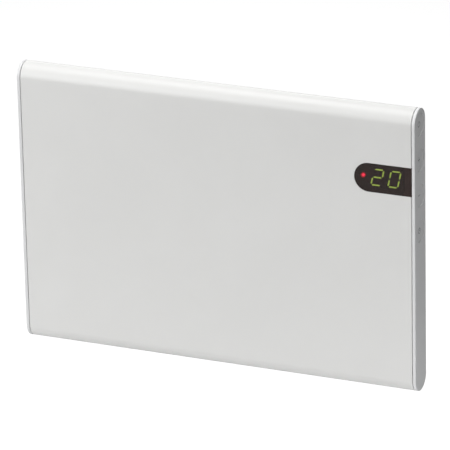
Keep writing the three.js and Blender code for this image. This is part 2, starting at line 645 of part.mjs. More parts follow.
/** Block of two seven-bar digits, with a chamfered face. */
function digitBlock() {
  const right = DISPLAY_BOARD_RIGHT - 2 * LAP;
  const left = right - DIGIT_BLOCK_WIDTH;
  const half = DIGIT_BLOCK_HEIGHT / 2;
  const depth = DISPLAY_BOARD_SETBACK - FIT - DIGIT_BLOCK_SETBACK;
  const face = rectangle(left, right, WINDOW_Z - half, WINDOW_Z + half);
  return chamferedBlock(face, depth, BLOCK_CHAMFER, DISPLAY_BOARD_FACE_Y - FIT);
}

/** A block drawn in (x, z), chamfered all round, that stands on a face at backY. */
function chamferedBlock(shape, depth, chamfer, backY) {
  const bevel = {
    bevelEnabled: true, bevelThickness: chamfer, bevelSize: chamfer, bevelOffset: -chamfer, bevelSegments: 1,
  };
  return solid(extrude(shape, depth - 2 * chamfer, 1, bevel)
    .applyMatrix4(PROFILE_XZ)
    .translate(0, backY - chamfer, 0));
}

function statusLed() {
  const base = DISPLAY_BOARD_FACE_Y - FIT;
  const tip = FRONT_Y + DIGIT_BLOCK_SETBACK;
  const shoulder = -(base - tip) + LED_RADIUS;
  const flange = LED_RADIUS + LED_FLANGE;
  const points = [[0, 0], [flange, 0], [flange, -2 * LED_FLANGE], [LED_RADIUS, -2 * LED_FLANGE]];
  for (let i = 0; i <= 4; i += 1) {
    const a = (i / 4) * (Math.PI / 2);
    points.push([LED_RADIUS * Math.cos(a), shoulder - LED_RADIUS * Math.sin(a)]);
  }
  return revolve(points, 'y', [HALF - LED_REACH, base, WINDOW_Z], 12);
}

// ---------------------------------------------------------------- electronics compartment

function boardCarrier() {
  const plate = box(
    [CARRIER_LEFT, CARRIER_RIGHT],
    [CARRIER_FACE_Y, CARRIER_BACK_Y],
    [BOTTOM_Z + CARRIER_LOW, BOTTOM_Z + CARRIER_HIGH],
  );
  const gland = rod(GLAND_FLANGE + 2 * OVERCUT, CARRIER_FACE_Y - OVERCUT, CARRIER_BACK_Y + OVERCUT, 'y',
    [GLAND_X, 0, GLAND_Z], 12);
  const rib = (x) => box(
    [x, x + CARRIER_SHEET],
    [CARRIER_FACE_Y - CARRIER_RIB, CARRIER_FACE_Y + LAP],
    [BOTTOM_Z + CARRIER_LOW, BOTTOM_Z + CARRIER_HIGH],
  );
  const pillar = (reach, [x, z]) =>
    revolve([[0, LAP], [PILLAR_ROOT, LAP], [PILLAR_TIP, -reach], [0, -reach]], 'y',
      [x, CARRIER_FACE_Y, z], 8);
  const pilot = (reach, [x, z]) =>
    rod(SCREW_SHANK + FIT, -reach - OVERCUT, -reach + PILOT_DEPTH, 'y', [x, CARRIER_FACE_Y, z], 8);
  const displayReach = CARRIER_FACE_Y - DISPLAY_BOARD_BACK_Y - FIT;
  const tall = displayPillars().map((p) => pillar(displayReach, p));
  const short = powerPillars().map((p) => pillar(POWER_BOARD_LIFT, p));
  const holes = [
    ...displayPillars().map((p) => pilot(displayReach, p)),
    ...powerPillars().map((p) => pilot(POWER_BOARD_LIFT, p)),
    rod(SENSOR_RADIUS + FIT, SENSOR_Z, SENSOR_Z + CARRIER_ARM_UP + 2 * CARRIER_SHEET, 'z',
      [SENSOR_X, MID_Y, 0], 12),
  ];
  const body = union(plate, rib(CARRIER_LEFT), rib(CARRIER_RIGHT - CARRIER_SHEET), sensorArm(), tall, short);
  return cut(body, gland, holes);
}

/** The carrier's moulded arm that holds the room sensor over the air inlets. */
function sensorArm() {
  const half = SENSOR_RADIUS + CARRIER_SHEET;
  const low = SENSOR_Z + CARRIER_ARM_UP;
  return box(
    [SENSOR_X - half, SENSOR_X + half],
    [MID_Y - half, CARRIER_FACE_Y + LAP],
    [low, low + 1.5 * CARRIER_SHEET],
  );
}

function powerPillars() {
  const inset = POWER_PILLAR_INSET;
  return [
    [POWER_BOARD_LEFT + inset, POWER_BOARD_Z + inset],
    [POWER_BOARD_RIGHT - inset, POWER_BOARD_Z + POWER_BOARD_HEIGHT - inset],
  ];
}

function powerBoard() {
  const sheet = box(
    [POWER_BOARD_LEFT, POWER_BOARD_RIGHT],
    [POWER_BOARD_FACE_Y, POWER_BOARD_BACK_Y],
    [POWER_BOARD_Z, POWER_BOARD_Z + POWER_BOARD_HEIGHT],
  );
  return cut(sheet, powerPillars().map(([x, z]) =>
    rod(BOARD_HOLE, POWER_BOARD_FACE_Y - OVERCUT, POWER_BOARD_BACK_Y + OVERCUT, 'y', [x, 0, z], 8)));
}

const BOARD_WIRE_Y = POWER_BOARD_FACE_Y - FIT;
const boardX = (x) => POWER_BOARD_LEFT + x;
const boardZ = (z) => POWER_BOARD_Z + z;

function boardBlock({ x, z, rise }) {
  return box(x.map(boardX), [BOARD_WIRE_Y - rise, BOARD_WIRE_Y], z.map(boardZ));
}

const transformer = () => union(boardBlock(CORE), boardBlock(COIL));

function relay() {
  const face = rectangle(...RELAY.x.map(boardX), ...RELAY.z.map(boardZ));
  return chamferedBlock(face, RELAY.rise, RELAY.edge, BOARD_WIRE_Y);
}

/** A can with a crimped neck near its foot. */
function capacitor() {
  const { radius, rise, x, z } = CAPACITOR;
  const crimp = 0.4;
  const neck = [2, 2.5, 3];
  return revolve([
    [0, 0], [radius, 0], [radius, -neck[0]], [radius - crimp, -neck[1]], [radius, -neck[2]],
    [radius, crimp - rise], [radius - crimp, -rise], [0, -rise],
  ], 'y', [boardX(x), BOARD_WIRE_Y, boardZ(z)]);
}

const TERMINAL_X = boardX(POWER_BOARD_INSET);
const TERMINAL_Z = POWER_BOARD_Z - TERMINAL_DROP - TERMINAL_HEIGHT;
const poleX = (pole) => TERMINAL_X + (pole + 0.5) * (TERMINAL_LENGTH / 3);

function terminalBlock() {
  const face = CARRIER_FACE_Y - FIT;
  const body = box(
    [TERMINAL_X, TERMINAL_X + TERMINAL_LENGTH],
    [face - TERMINAL_DEPTH, face],
    [TERMINAL_Z, TERMINAL_Z + TERMINAL_HEIGHT],
  );
  const middle = TERMINAL_Z + TERMINAL_HEIGHT / 2;
  const top = TERMINAL_Z + TERMINAL_HEIGHT;
  const wireY = face - TERMINAL_DEPTH / 2;
  const wells = [0, 1, 2].flatMap((pole) => [
    rod(TERMINAL_SCREW, face - TERMINAL_DEPTH - OVERCUT, wireY, 'y', [poleX(pole), 0, middle], 8),
    rod(TERMINAL_ENTRY, TERMINAL_Z - OVERCUT, TERMINAL_Z + TERMINAL_ENTRY_DEPTH, 'z',
      [poleX(pole), wireY, 0], 6),
    rod(TERMINAL_ENTRY, top - TERMINAL_ENTRY_DEPTH, top + OVERCUT, 'z', [poleX(pole), wireY, 0], 6),
  ]);
  return cut(body, wells);
}

function mainsGland() {
  return revolve([
    [GLAND_BORE, -GLAND_THREAD], [GLAND_RADIUS, -GLAND_THREAD], [GLAND_RADIUS, FIT], [GLAND_FLANGE, FIT],
    [GLAND_FLANGE, 0.75 * GLAND_DOME], [(GLAND_FLANGE + GLAND_RADIUS) / 2, GLAND_DOME],
    [(GLAND_RADIUS + GLAND_BORE) / 2, GLAND_TAIL], [GLAND_BORE, GLAND_TAIL], [GLAND_BORE, -GLAND_THREAD],
  ], 'y', [GLAND_X, REAR_Y, GLAND_Z]);
}

function glandNut() {
  const bore = new THREE.Path();
  bore.absarc(GLAND_X, GLAND_Z, GLAND_RADIUS + FIT, 0, 2 * Math.PI, true);
  const hexagon = polygon([0, 1, 2, 3, 4, 5].map((i) => {
    const a = (i * Math.PI) / 3;
    return [GLAND_X + NUT_RADIUS * Math.cos(a), GLAND_Z + NUT_RADIUS * Math.sin(a)];
  }));
  hexagon.holes.push(bore);
  return sweepY(hexagon, CARRIER_BACK_Y - NUT_HEIGHT, CARRIER_BACK_Y, 12);
}

/** A small bead that hangs in the carrier's arm. */
function roomSensor() {
  const r = SENSOR_RADIUS;
  const top = CARRIER_ARM_UP;
  return revolve([
    [0, -r], [0.6 * r, -r], [r, -0.4 * r], [r, top - r], [0.5 * r, top], [0, top],
  ], 'z', [SENSOR_X, MID_Y, SENSOR_Z + CARRIER_SHEET], 12);
}

// ---------------------------------------------------------------- element chamber

function partition() {
  const x = [PARTITION_X, PARTITION_X + PARTITION_SHEET];
  const half = PARTITION_FOOT_HEIGHT / 2;
  const wall = sweepX(casingOutline(2 * (SHEET + FIT)), ...x, 10);
  const web = box(x, [MID_Y, CARRIER_BACK_Y], [-half, half]);
  const foot = box(
    [PARTITION_X - PARTITION_FOOT, PARTITION_X + PARTITION_SHEET],
    [CARRIER_BACK_Y - PARTITION_SHEET, CARRIER_BACK_Y],
    [-half, half],
  );
  const hole = rod(GROMMET_HOLE, PARTITION_X - OVERCUT, PARTITION_X + PARTITION_SHEET + OVERCUT, 'x',
    [0, MID_Y, GROMMET_Z], 14);
  return cut(union(wall, web, foot), hole);
}

/** A rubber ring whose groove holds the edge of the partition's hole. */
function grommet() {
  const half = GROMMET_LENGTH / 2;
  const groove = PARTITION_SHEET / 2 + FIT;
  const outer = GROMMET_HOLE + GROMMET_LIP;
  const edge = GROMMET_LIP / 2;
  return revolve([
    [GROMMET_BORE, -half], [outer - edge, -half], [outer, -groove - edge], [outer, -groove],
    [GROMMET_HOLE - FIT, -groove], [GROMMET_HOLE - FIT, groove], [outer, groove],
    [outer, groove + edge], [outer - edge, half], [GROMMET_BORE, half], [GROMMET_BORE, -half],
  ], 'x', [PARTITION_X + PARTITION_SHEET / 2, MID_Y, GROMMET_Z]);
}

/** The finned body: a tube with four slotted wings in an X, closed round the sheathed rod. */
function finnedBody() {
  const reach = Math.hypot(ELEMENT_HALF_DEPTH, ELEMENT_HALF_HEIGHT);
  const lean = Math.atan2(ELEMENT_HALF_HEIGHT, ELEMENT_HALF_DEPTH);
  const wings = [lean, Math.PI - lean, Math.PI + lean, -lean].map((angle) => {
    const along = [Math.cos(angle), Math.sin(angle)];
    const across = [-along[1] * (ELEMENT_WALL / 2), along[0] * (ELEMENT_WALL / 2)];
    const corner = (r, side) => [
      MID_Y + r * along[0] + side * across[0],
      ELEMENT_Z + r * along[1] + side * across[1],
    ];
    const root = ROD_RADIUS / 2;
    const profile = polygon([corner(root, -1), corner(reach, -1), corner(reach, 1), corner(root, 1)]);
    const bead = rod(ELEMENT_WALL, ELEMENT_LEFT, ELEMENT_RIGHT, 'x',
      [0, MID_Y + reach * along[0], ELEMENT_Z + reach * along[1]], 6);
    return [sweepX(profile, ELEMENT_LEFT, ELEMENT_RIGHT), bead];
  });
  const tube = rod(ELEMENT_TUBE, ELEMENT_LEFT, ELEMENT_RIGHT, 'x', [0, MID_Y, ELEMENT_Z], 12);
  const bore = rod(ROD_RADIUS + FIT, ELEMENT_LEFT - OVERCUT, ELEMENT_RIGHT + OVERCUT, 'x',
    [0, MID_Y, ELEMENT_Z], 12);
  const count = Math.floor((ELEMENT_RIGHT - ELEMENT_LEFT) / LOUVRE_PITCH) - 1;
  const middle = (ELEMENT_LEFT + ELEMENT_RIGHT) / 2;
  const louvres = Array.from({ length: count }, (_, i) => {
    const x = middle + (i - (count - 1) / 2) * LOUVRE_PITCH;
    return [-1, 1].map((side) => box(
      [x - LOUVRE_WIDTH / 2, x + LOUVRE_WIDTH / 2],
      [MID_Y - DEPTH / 2, MID_Y + DEPTH / 2],
      [LOUVRE_FROM, LOUVRE_TO].map((share) => ELEMENT_Z + side * share * ELEMENT_HALF_HEIGHT),
    ));
  }).flat();
  return cut(union(tube, wings.flat()), bore, union(louvres));
}

function sheathedRod() {
  const from = ELEMENT_LEFT - ROD_OVERHANG;
  const to = ELEMENT_RIGHT + ROD_OVERHANG;
  return revolve([
    [0, from - STUD_LENGTH], [STUD_RADIUS, from - STUD_LENGTH], [STUD_RADIUS, from], [ROD_RADIUS, from],
    [ROD_RADIUS, to], [STUD_RADIUS, to], [STUD_RADIUS, to + STUD_LENGTH], [0, to + STUD_LENGTH],
  ], 'x', [0, MID_Y, ELEMENT_Z], 12);
}

const bushSeat = (side) => (side < 0 ? ELEMENT_LEFT - BUSH_SEAT : ELEMENT_RIGHT + BUSH_SEAT);

/** A ceramic bush with a collar on the fins' side of its bracket. */
function elementBush(side) {
  const seat = bushSeat(side);
  const bore = ROD_RADIUS + FIT;
  const points = [
    [bore, -BUSH_COLLAR], [BUSH_FLANGE, -BUSH_COLLAR], [BUSH_FLANGE, -FIT], [BUSH_RADIUS, -FIT],
    [BUSH_RADIUS, BUSH_LENGTH - BUSH_COLLAR], [bore, BUSH_LENGTH - BUSH_COLLAR], [bore, -BUSH_COLLAR],
  ];
  return revolve(points.map(([r, h]) => [r, side * h]), 'x', [seat, MID_Y, ELEMENT_Z], 14);
}

/** A steel angle from the back panel that carries one end of the element. */
function elementBracket(side) {
  const seat = bushSeat(side);
  const half = ELEMENT_BRACKET_HEIGHT / 2;
  const outer = seat + side * ELEMENT_BRACKET_SHEET;
  const upright = box([seat, outer], [MID_Y - ELEMENT_BRACKET_REACH, CARRIER_BACK_Y],
    [ELEMENT_Z - half, ELEMENT_Z + half]);
  const foot = box(
    [seat, seat + side * ELEMENT_BRACKET_FOOT],
    [CARRIER_BACK_Y - ELEMENT_BRACKET_SHEET, CARRIER_BACK_Y],
    [ELEMENT_Z - half, ELEMENT_Z + half],
  );
  const hole = rod(BUSH_RADIUS + FIT, Math.min(seat, outer) - OVERCUT, Math.max(seat, outer) + OVERCUT, 'x',
    [0, MID_Y, ELEMENT_Z], 12);
  return cut(union(upright, foot), hole);
}

const CUTOUT_Z = ELEMENT_Z + ELEMENT_HALF_HEIGHT + CUTOUT_CLEAR;

/** A bimetal cut-out: a can on a stepped base with two blades that point to the rear. */
function thermalCutout() {
  const face = MID_Y - CUTOUT_HEIGHT / 2;
  const edge = 0.6;
  const step = 2 * edge;
  const can = revolve([
    [0, 0], [CUTOUT_RADIUS - edge, 0], [CUTOUT_RADIUS, edge], [CUTOUT_RADIUS, CUTOUT_HEIGHT * 0.55],
    [CUTOUT_RADIUS - step, CUTOUT_HEIGHT * 0.55], [CUTOUT_RADIUS - step, CUTOUT_HEIGHT], [0, CUTOUT_HEIGHT],
  ], 'y', [CUTOUT_AT, face, CUTOUT_Z]);
  const blades = [-1, 1].map((side) => {
    const x = CUTOUT_AT + side * BLADE_AT;
    return box([x - BLADE_WIDTH / 2, x + BLADE_WIDTH / 2],
      [face + CUTOUT_HEIGHT - LAP, face + CUTOUT_HEIGHT + BLADE_LENGTH],
      [CUTOUT_Z - BLADE_SHEET / 2, CUTOUT_Z + BLADE_SHEET / 2]);
  });
  return union(can, blades);
}

/** A sheet strap that stands on the back panel and grips the cut-out's can. */
function cutoutStrap() {
  const half = CUTOUT_RADIUS + STRAP_MARGIN;
  const low = CUTOUT_Z - half;
  const high = CUTOUT_Z + CUTOUT_RADIUS + STRAP_ARM;
  const face = MID_Y - CUTOUT_HEIGHT / 2 + STRAP_SHEET;
  const x = [CUTOUT_AT - half, CUTOUT_AT + half];
  const front = box(x, [face, face + STRAP_SHEET], [low, high]);
  const arm = box(x, [face, CARRIER_BACK_Y], [high - STRAP_SHEET, high]);
  const foot = box(x, [CARRIER_BACK_Y - STRAP_SHEET, CARRIER_BACK_Y],
    [high - STRAP_SHEET, high + STRAP_FOOT]);
  const opening = rod(CUTOUT_RADIUS + FIT, face - OVERCUT, face + STRAP_SHEET + OVERCUT, 'y',
    [CUTOUT_AT, 0, CUTOUT_Z], 16);
  return cut(union(front, arm, foot), opening);
}

// ---------------------------------------------------------------- wiring inside the casing

const FINS_TOP_Z = ELEMENT_Z + ELEMENT_HALF_HEIGHT;
const STUD_RIGHT = ELEMENT_RIGHT + ROD_OVERHANG + STUD_LENGTH + FIT;
const STUD_LEFT = ELEMENT_LEFT - ROD_OVERHANG - STUD_LENGTH - FIT;
const BLADE_Y = MID_Y + CUTOUT_HEIGHT / 2 + BLADE_LENGTH + FIT;

/** Short lead from a pole of the terminal block up to the power board. */
function supplyLead(pole) {
  const x = poleX(pole);
  const wellY = CARRIER_FACE_Y - FIT - TERMINAL_DEPTH / 2;
  const top = TERMINAL_Z + TERMINAL_HEIGHT;
  return lead([
    [x, wellY, top - 3.5], [x, wellY, top + 1], [x, wellY - 4, top + 6],
    [x, BOARD_WIRE_Y - 6.5, boardZ(SUPPLY_PAD_Z - 3)], [x, BOARD_WIRE_Y - 3, boardZ(SUPPLY_PAD_Z)],
    [x, BOARD_WIRE_Y, boardZ(SUPPLY_PAD_Z)],
  ], 12);
}

function cutoutFeed() {
  const x = CUTOUT_AT + BLADE_AT;
  return lead([
    [boardX(ELEMENT_PADS.x), BOARD_WIRE_Y, boardZ(ELEMENT_PADS.live)],
    [boardX(ELEMENT_PADS.x), BOARD_WIRE_Y - 6, boardZ(ELEMENT_PADS.live - 2)],
    [PARTITION_X + 6, MID_Y - 2.4, GROMMET_Z + 1],
    [PARTITION_X - 5, MID_Y - 2.4, GROMMET_Z + 1],
    [CUTOUT_AT + 40, MID_Y, CUTOUT_Z + 4],
    [x + 12, BLADE_Y + 3, CUTOUT_Z + 1],
    [x, BLADE_Y + 2.4, CUTOUT_Z],
    [x, BLADE_Y, CUTOUT_Z],
  ], 22);
}

function cutoutToElement() {
  const x = CUTOUT_AT - BLADE_AT;
  const over = FINS_TOP_Z + LEAD_CLEAR;
  const behind = INNER_REAR_Y - 3;
  return lead([
    [x, BLADE_Y, CUTOUT_Z],
    [x, BLADE_Y + 2, CUTOUT_Z],
    [x + 3, behind, CUTOUT_Z - 4],
    [x + 18, behind, over],
    [ELEMENT_RIGHT - 10, behind, over],
    [ELEMENT_RIGHT + 14, behind - 2, over - 6],
    [STUD_RIGHT + 3.4, MID_Y + 7, ELEMENT_Z + 9],
    [STUD_RIGHT + 4, MID_Y, ELEMENT_Z],
    [STUD_RIGHT, MID_Y, ELEMENT_Z],
  ], 24);
}

function elementReturn() {
  const over = FINS_TOP_Z + LEAD_CLEAR;
  return lead([
    [boardX(ELEMENT_PADS.x), BOARD_WIRE_Y, boardZ(ELEMENT_PADS.neutral)],
    [boardX(ELEMENT_PADS.x - 1), BOARD_WIRE_Y - 7, boardZ(ELEMENT_PADS.neutral + 2)],
    [PARTITION_X + 6, MID_Y + 2, GROMMET_Z - 1.6],
    [PARTITION_X - 5, MID_Y + 2, GROMMET_Z - 1.6],
    [PARTITION_X - 30, MID_Y + 1, over + 1],
    [CUTOUT_AT + 16, MID_Y - 9, over],
    [CUTOUT_AT - 16, MID_Y - 9, over],
    [0, MID_Y, over],
    [ELEMENT_LEFT + 20, MID_Y, over],
    [STUD_LEFT + 6, MID_Y - 2, over - 2],
    [STUD_LEFT - 3.4, MID_Y - 1, ELEMENT_Z + 14],
    [STUD_LEFT - 4, MID_Y, ELEMENT_Z],
    [STUD_LEFT, MID_Y, ELEMENT_Z],
  ], 32);
}

/** Earth lead from the third pole to the partition's foot. */
function earthLead() {
  const x = poleX(2);
  const wellY = CARRIER_FACE_Y - FIT - TERMINAL_DEPTH / 2;
  const clear = wellY - 3;
  return lead([
    [x, wellY, TERMINAL_Z + 3.5], [x, wellY, TERMINAL_Z - 1], [x - 5, clear, TERMINAL_Z - 8],
    [PARTITION_X + 14, clear, TERMINAL_Z - 5], [PARTITION_X + 5, clear, TERMINAL_Z + 3],
    [PARTITION_X + PARTITION_SHEET + FIT, clear, TERMINAL_Z + 3],
  ], 15);
}

function sensorLead() {
  const x = SENSOR_X;
  const z = SENSOR_Z + CARRIER_SHEET + CARRIER_ARM_UP + FIT;
  const pad = boardX(SENSOR_PAD.x);
  return lead([
    [x, MID_Y, z], [x, MID_Y, z + 8], [x - 2, MID_Y - 3, z + 18],
    [pad, BOARD_WIRE_Y - 6, boardZ(SENSOR_PAD.z - 4)],
    [pad, BOARD_WIRE_Y - 3, boardZ(SENSOR_PAD.z)],
    [pad, BOARD_WIRE_Y, boardZ(SENSOR_PAD.z)],
  ], 12, 0.7 * LEAD_RADIUS);
}

/** A flat ribbon bent along (y, z) points, from the display board down to the power board. */
function displayRibbon() {
  const x = DISPLAY_BOARD_LEFT + 22;
  const start = [DISPLAY_BOARD_BACK_Y + FIT, WINDOW_Z - 8];
  const end = [BOARD_WIRE_Y, POWER_BOARD_Z + POWER_BOARD_HEIGHT - 5];
  const line = [start, [start[0] + 3, start[1] - 4], [start[0] + 5, start[1] - 14],
    [end[0] - 6, end[1] + 24], [end[0] - 4, end[1] + 6], end];
  return ribbonX(line, x);
}

function ribbonX(line, x) {
  const curve = new THREE.SplineCurve(line.map(([a, b]) => new THREE.Vector2(a, b)));
  const points = curve.getPoints(14);
  const side = (i, sign) => {
    const ahead = points[Math.min(i + 1, points.length - 1)];
    const behind = points[Math.max(i - 1, 0)];
    const along = ahead.clone().sub(behind).setLength(sign * RIBBON_SHEET / 2);
    return [points[i].x - along.y, points[i].y + along.x];
  };
  const index = points.map((_, i) => i);
  const outline = [...index.map((i) => side(i, 1)), ...index.reverse().map((i) => side(i, -1))];
  return sweepX(polygon(outline), x, x + RIBBON_WIDTH);
}

/** A round cable from the key board's lower end back to the power board. */
function keyCable() {
  const [padX, padZ] = [boardX(KEY_PAD.x), boardZ(KEY_PAD.z)];
  const top = BUTTON_Z[3] - BUTTON_RADIUS;
  return lead([
    [KEY_BOARD_X - BOARD_SHEET - FIT, MID_Y, top + 6],
    [KEY_BOARD_X - BOARD_SHEET - 4, MID_Y, top + 6],
    [KEY_BOARD_X - 12, MID_Y + 1, top - 10],
    [padX + 1, BOARD_WIRE_Y - 7, padZ + 4],
    [padX, BOARD_WIRE_Y - 3, padZ],
    [padX, BOARD_WIRE_Y, padZ],
  ], 13, 1.5 * LEAD_RADIUS);
}

// ---------------------------------------------------------------- wall bracket and what grips it

const BRIDGE_Z = [CATCH_Z - BRIDGE_HEIGHT / 2, CATCH_Z + BRIDGE_HEIGHT / 2];

/** One side flange of a post in (y, z): a J hook for the hinge pin below, an arm for the clip above. */
function postFlange() {
  const low = PIVOT_Z - POST_FOOT;
  const slotHalf = PIN_RADIUS + FIT;
  const shape = new THREE.Shape();
  shape.moveTo(0, low);
  shape.lineTo(0, POST_TOP);
  shape.lineTo(POST_CORNER - POST_DEPTH, POST_TOP);
  shape.lineTo(-POST_DEPTH, POST_TOP - POST_CORNER);
  shape.lineTo(-BRIDGE_FACE, BRIDGE_Z[1]);
  shape.lineTo(-BRIDGE_FACE, BRIDGE_Z[0]);
  shape.lineTo(-POST_DEPTH, BRIDGE_Z[0] - CATCH_EASE);
  shape.lineTo(-POST_DEPTH, PIVOT_Z + FLANGE_EASE);
  shape.quadraticCurveTo(-POST_DEPTH, PIVOT_Z + FLANGE_EASE / 3,
    PIVOT_Y + slotHalf + HOOK_EASE, PIVOT_Z + HOOK_RISE);
  shape.lineTo(PIVOT_Y + slotHalf, PIVOT_Z + HOOK_RISE - HOOK_EASE);
  shape.lineTo(PIVOT_Y + slotHalf, PIVOT_Z);
  shape.absarc(PIVOT_Y, PIVOT_Z, slotHalf, 0, Math.PI, true);
  shape.lineTo(PIVOT_Y - slotHalf, PIVOT_Z + HOOK_RISE - HOOK_EASE / 2);
  shape.lineTo(PIVOT_Y - HOOK_RADIUS + HOOK_EASE / 2, PIVOT_Z + HOOK_RISE);
  shape.lineTo(PIVOT_Y - HOOK_RADIUS, PIVOT_Z + HOOK_RISE - HOOK_EASE);
  shape.lineTo(PIVOT_Y - HOOK_RADIUS, PIVOT_Z);
  shape.absarc(PIVOT_Y, PIVOT_Z, HOOK_RADIUS, Math.PI, 1.5 * Math.PI, false);
  shape.quadraticCurveTo(PIVOT_Y * 0.4, PIVOT_Z - HOOK_RADIUS - HOOK_EASE, POST_CORNER - POST_DEPTH, low);
  return shape;
}

/** One upright of the bracket: a channel with hooks below and a bridge for the clip above. */
function bracketPost(side) {
  const centre = side * POST_AT;
  const span = [centre - POST_WIDTH / 2, centre + POST_WIDTH / 2];
  const channel = union(
    box(span, [-POST_SHEET, 0], [PIVOT_Z - POST_FOOT, POST_TOP]),
    sweepX(postFlange(), span[0], span[0] + POST_SHEET, 3),
    sweepX(postFlange(), span[1] - POST_SHEET, span[1], 3),
    box(span, [-BRIDGE_FACE, -BRIDGE_FACE + POST_SHEET], BRIDGE_Z),
  );
  return cut(channel, screwSlot(centre, -SCREW_SLOT_UP), screwSlot(centre, SCREW_SLOT_UP));
}

/** The plate between the uprights: a shallow tray, welded to their inner flanges by its end lips. */
function bracketPlate() {
  const half = POST_AT - POST_WIDTH / 2 - FIT;
  const rise = CROSS_HEIGHT / 2;
  const tray = box([-half, half], [-CROSS_LIP, 0], [-rise, rise]);
  const hollow = box(
    [-half + POST_SHEET, half - POST_SHEET],
    [-CROSS_LIP - OVERCUT, -POST_SHEET],
    [-rise + POST_SHEET, rise - POST_SHEET],
  );
  return cut(tray, hollow, screwSlot(-CROSS_SLOT_AT, 0), screwSlot(CROSS_SLOT_AT, 0));
}

function screwSlot(x, z) {
  const half = SCREW_SLOT_LENGTH / 2;
  return sweepY(slot(x, z - half, z + half, SCREW_SLOT_WIDTH), -POST_SHEET - OVERCUT, OVERCUT, 2);
}

/** Spring steel clip: two leaves with flared mouths, open towards the heater. */
function catchClip(side) {
  const back = -BRIDGE_FACE - FIT;
  const leaf = TONGUE_SHEET / 2 + CATCH_GAP;
  const mouth = back - CLIP_SHEET - CLIP_LEAF;
  const tip = mouth - CLIP_FLARE;
  const outer = leaf + CLIP_SHEET;
  const spread = CLIP_FLARE * 0.7;
  const profile = polygon([
    [back, -outer], [back, outer], [mouth, outer], [tip, outer + spread], [tip, leaf + spread],
    [mouth, leaf], [back - CLIP_SHEET, leaf], [back - CLIP_SHEET, -leaf],
    [mouth, -leaf], [tip, -leaf - spread], [tip, -outer - spread], [mouth, -outer],
  ].map(([y, z]) => [y, CATCH_Z + z]));
  const centre = side * POST_AT;
  const ears = box(
    [centre - CLIP_WIDTH / 2, centre + CLIP_WIDTH / 2],
    [back - CLIP_SHEET, back],
    [BRIDGE_Z[0] + POST_SHEET, BRIDGE_Z[1] - POST_SHEET],
  );
  return union(sweepX(profile, centre - CLIP_WIDTH / 2, centre + CLIP_WIDTH / 2), ears);
}

/** Foot of the hinge: a plate on the heater's back with two ears that hold the pin. */
function hingeFoot(side) {
  const centre = side * POST_AT;
  const near = POST_WIDTH / 2 + EAR_GAP;
  const far = near + FOOT_SHEET;
  const plateBack = REAR_Y + FIT + FOOT_SHEET * 0.75;
  const half = FOOT_HEIGHT / 2;
  const plate = box([centre - far, centre + far], [REAR_Y + FIT, plateBack],
    [PIVOT_Z - half, PIVOT_Z + half]);
  const ear = new THREE.Shape();
  ear.moveTo(REAR_Y + FIT, PIVOT_Z - half + 2 * FOOT_SHEET);
  ear.lineTo(PIVOT_Y, PIVOT_Z - HOOK_RADIUS);
  ear.absarc(PIVOT_Y, PIVOT_Z, HOOK_RADIUS, -Math.PI / 2, Math.PI / 2, false);
  ear.lineTo(REAR_Y + FIT, PIVOT_Z + half - 2 * FOOT_SHEET);
  const ears = [-1, 1].map((way) => sweepX(ear, centre + way * near, centre + way * far, 4));
  const hole = rod(PIN_RADIUS + FIT, centre - far - OVERCUT, centre + far + OVERCUT, 'x',
    [0, PIVOT_Y, PIVOT_Z], 12);
  return cut(union(plate, ears), hole);
}

/** Headed pin through a foot's ears and over the post's two hooks. */
function hingePin(side) {
  const centre = side * POST_AT;
  const reach = POST_WIDTH / 2 + EAR_GAP + FOOT_SHEET + FIT;
  const end = reach + PIN_HEAD_RISE;
  const head = PIN_RADIUS + PIN_HEAD;
  return revolve([
    [0, -end], [head, -end], [head, -reach], [PIN_RADIUS, -reach],
    [PIN_RADIUS, reach], [head, reach], [head, end], [0, end],
  ], 'x', [centre, PIVOT_Y, PIVOT_Z]);
}

/** Angle on the heater's back whose tongue the clip grips. */
function catchTongue(side) {
  const centre = side * POST_AT;
  const x = [centre - TONGUE_WIDTH / 2, centre + TONGUE_WIDTH / 2];
  const root = REAR_Y + FIT;
  const plate = box(x, [root, root + TONGUE_SHEET * 0.75],
    [CATCH_Z - TONGUE_PLATE, CATCH_Z + TONGUE_SHEET / 2]);
  const tongue = box(x, [root, root + TONGUE_REACH],
    [CATCH_Z - TONGUE_SHEET / 2, CATCH_Z + TONGUE_SHEET / 2]);
  return union(plate, tongue);
}

// ---------------------------------------------------------------- assembly

add('bracket_plate', bracketPlate(), 'zinc_steel');
for (const [name, side] of [['left', -1], ['right', 1]]) {
  add(`bracket_post_${name}`, bracketPost(side), 'zinc_steel');
  add(`catch_clip_${name}`, catchClip(side), 'spring_steel');
  add(`hinge_foot_${name}`, hingeFoot(side), 'zinc_steel');
  add(`hinge_pin_${name}`, hingePin(side), 'zinc_steel');
  add(`catch_tongue_${name}`, catchTongue(side), 'zinc_steel');
  add(`element_bush_${name}`, elementBush(side), 'ceramic');
  add(`element_bracket_${name}`, elementBracket(side), 'zinc_steel');
}

add('front_panel', frontPanel(), 'white_steel');
add('back_panel', backPanel(), 'white_steel');
add('end_cap_left', plainCap(-1), 'white_plastic');
add('end_cap_right', rightCap(), 'white_plastic');
['standby', 'plus', 'minus', 'timer'].forEach((name, i) => {
  add(`${name}_button`, button(BUTTON_Z[i]), 'white_plastic');
  add(`${name}_switch`, keySwitch(BUTTON_Z[i]), 'black_plastic');
});
add('key_board', keyBoard(), 'board_green');

add('display_window', displayWindow(), 'smoked_window');
add('display_board', displayBoard(), 'board_green');
add('digit_block', digitBlock(), 'black_plastic');
add('status_led', statusLed(), 'lamp_red');

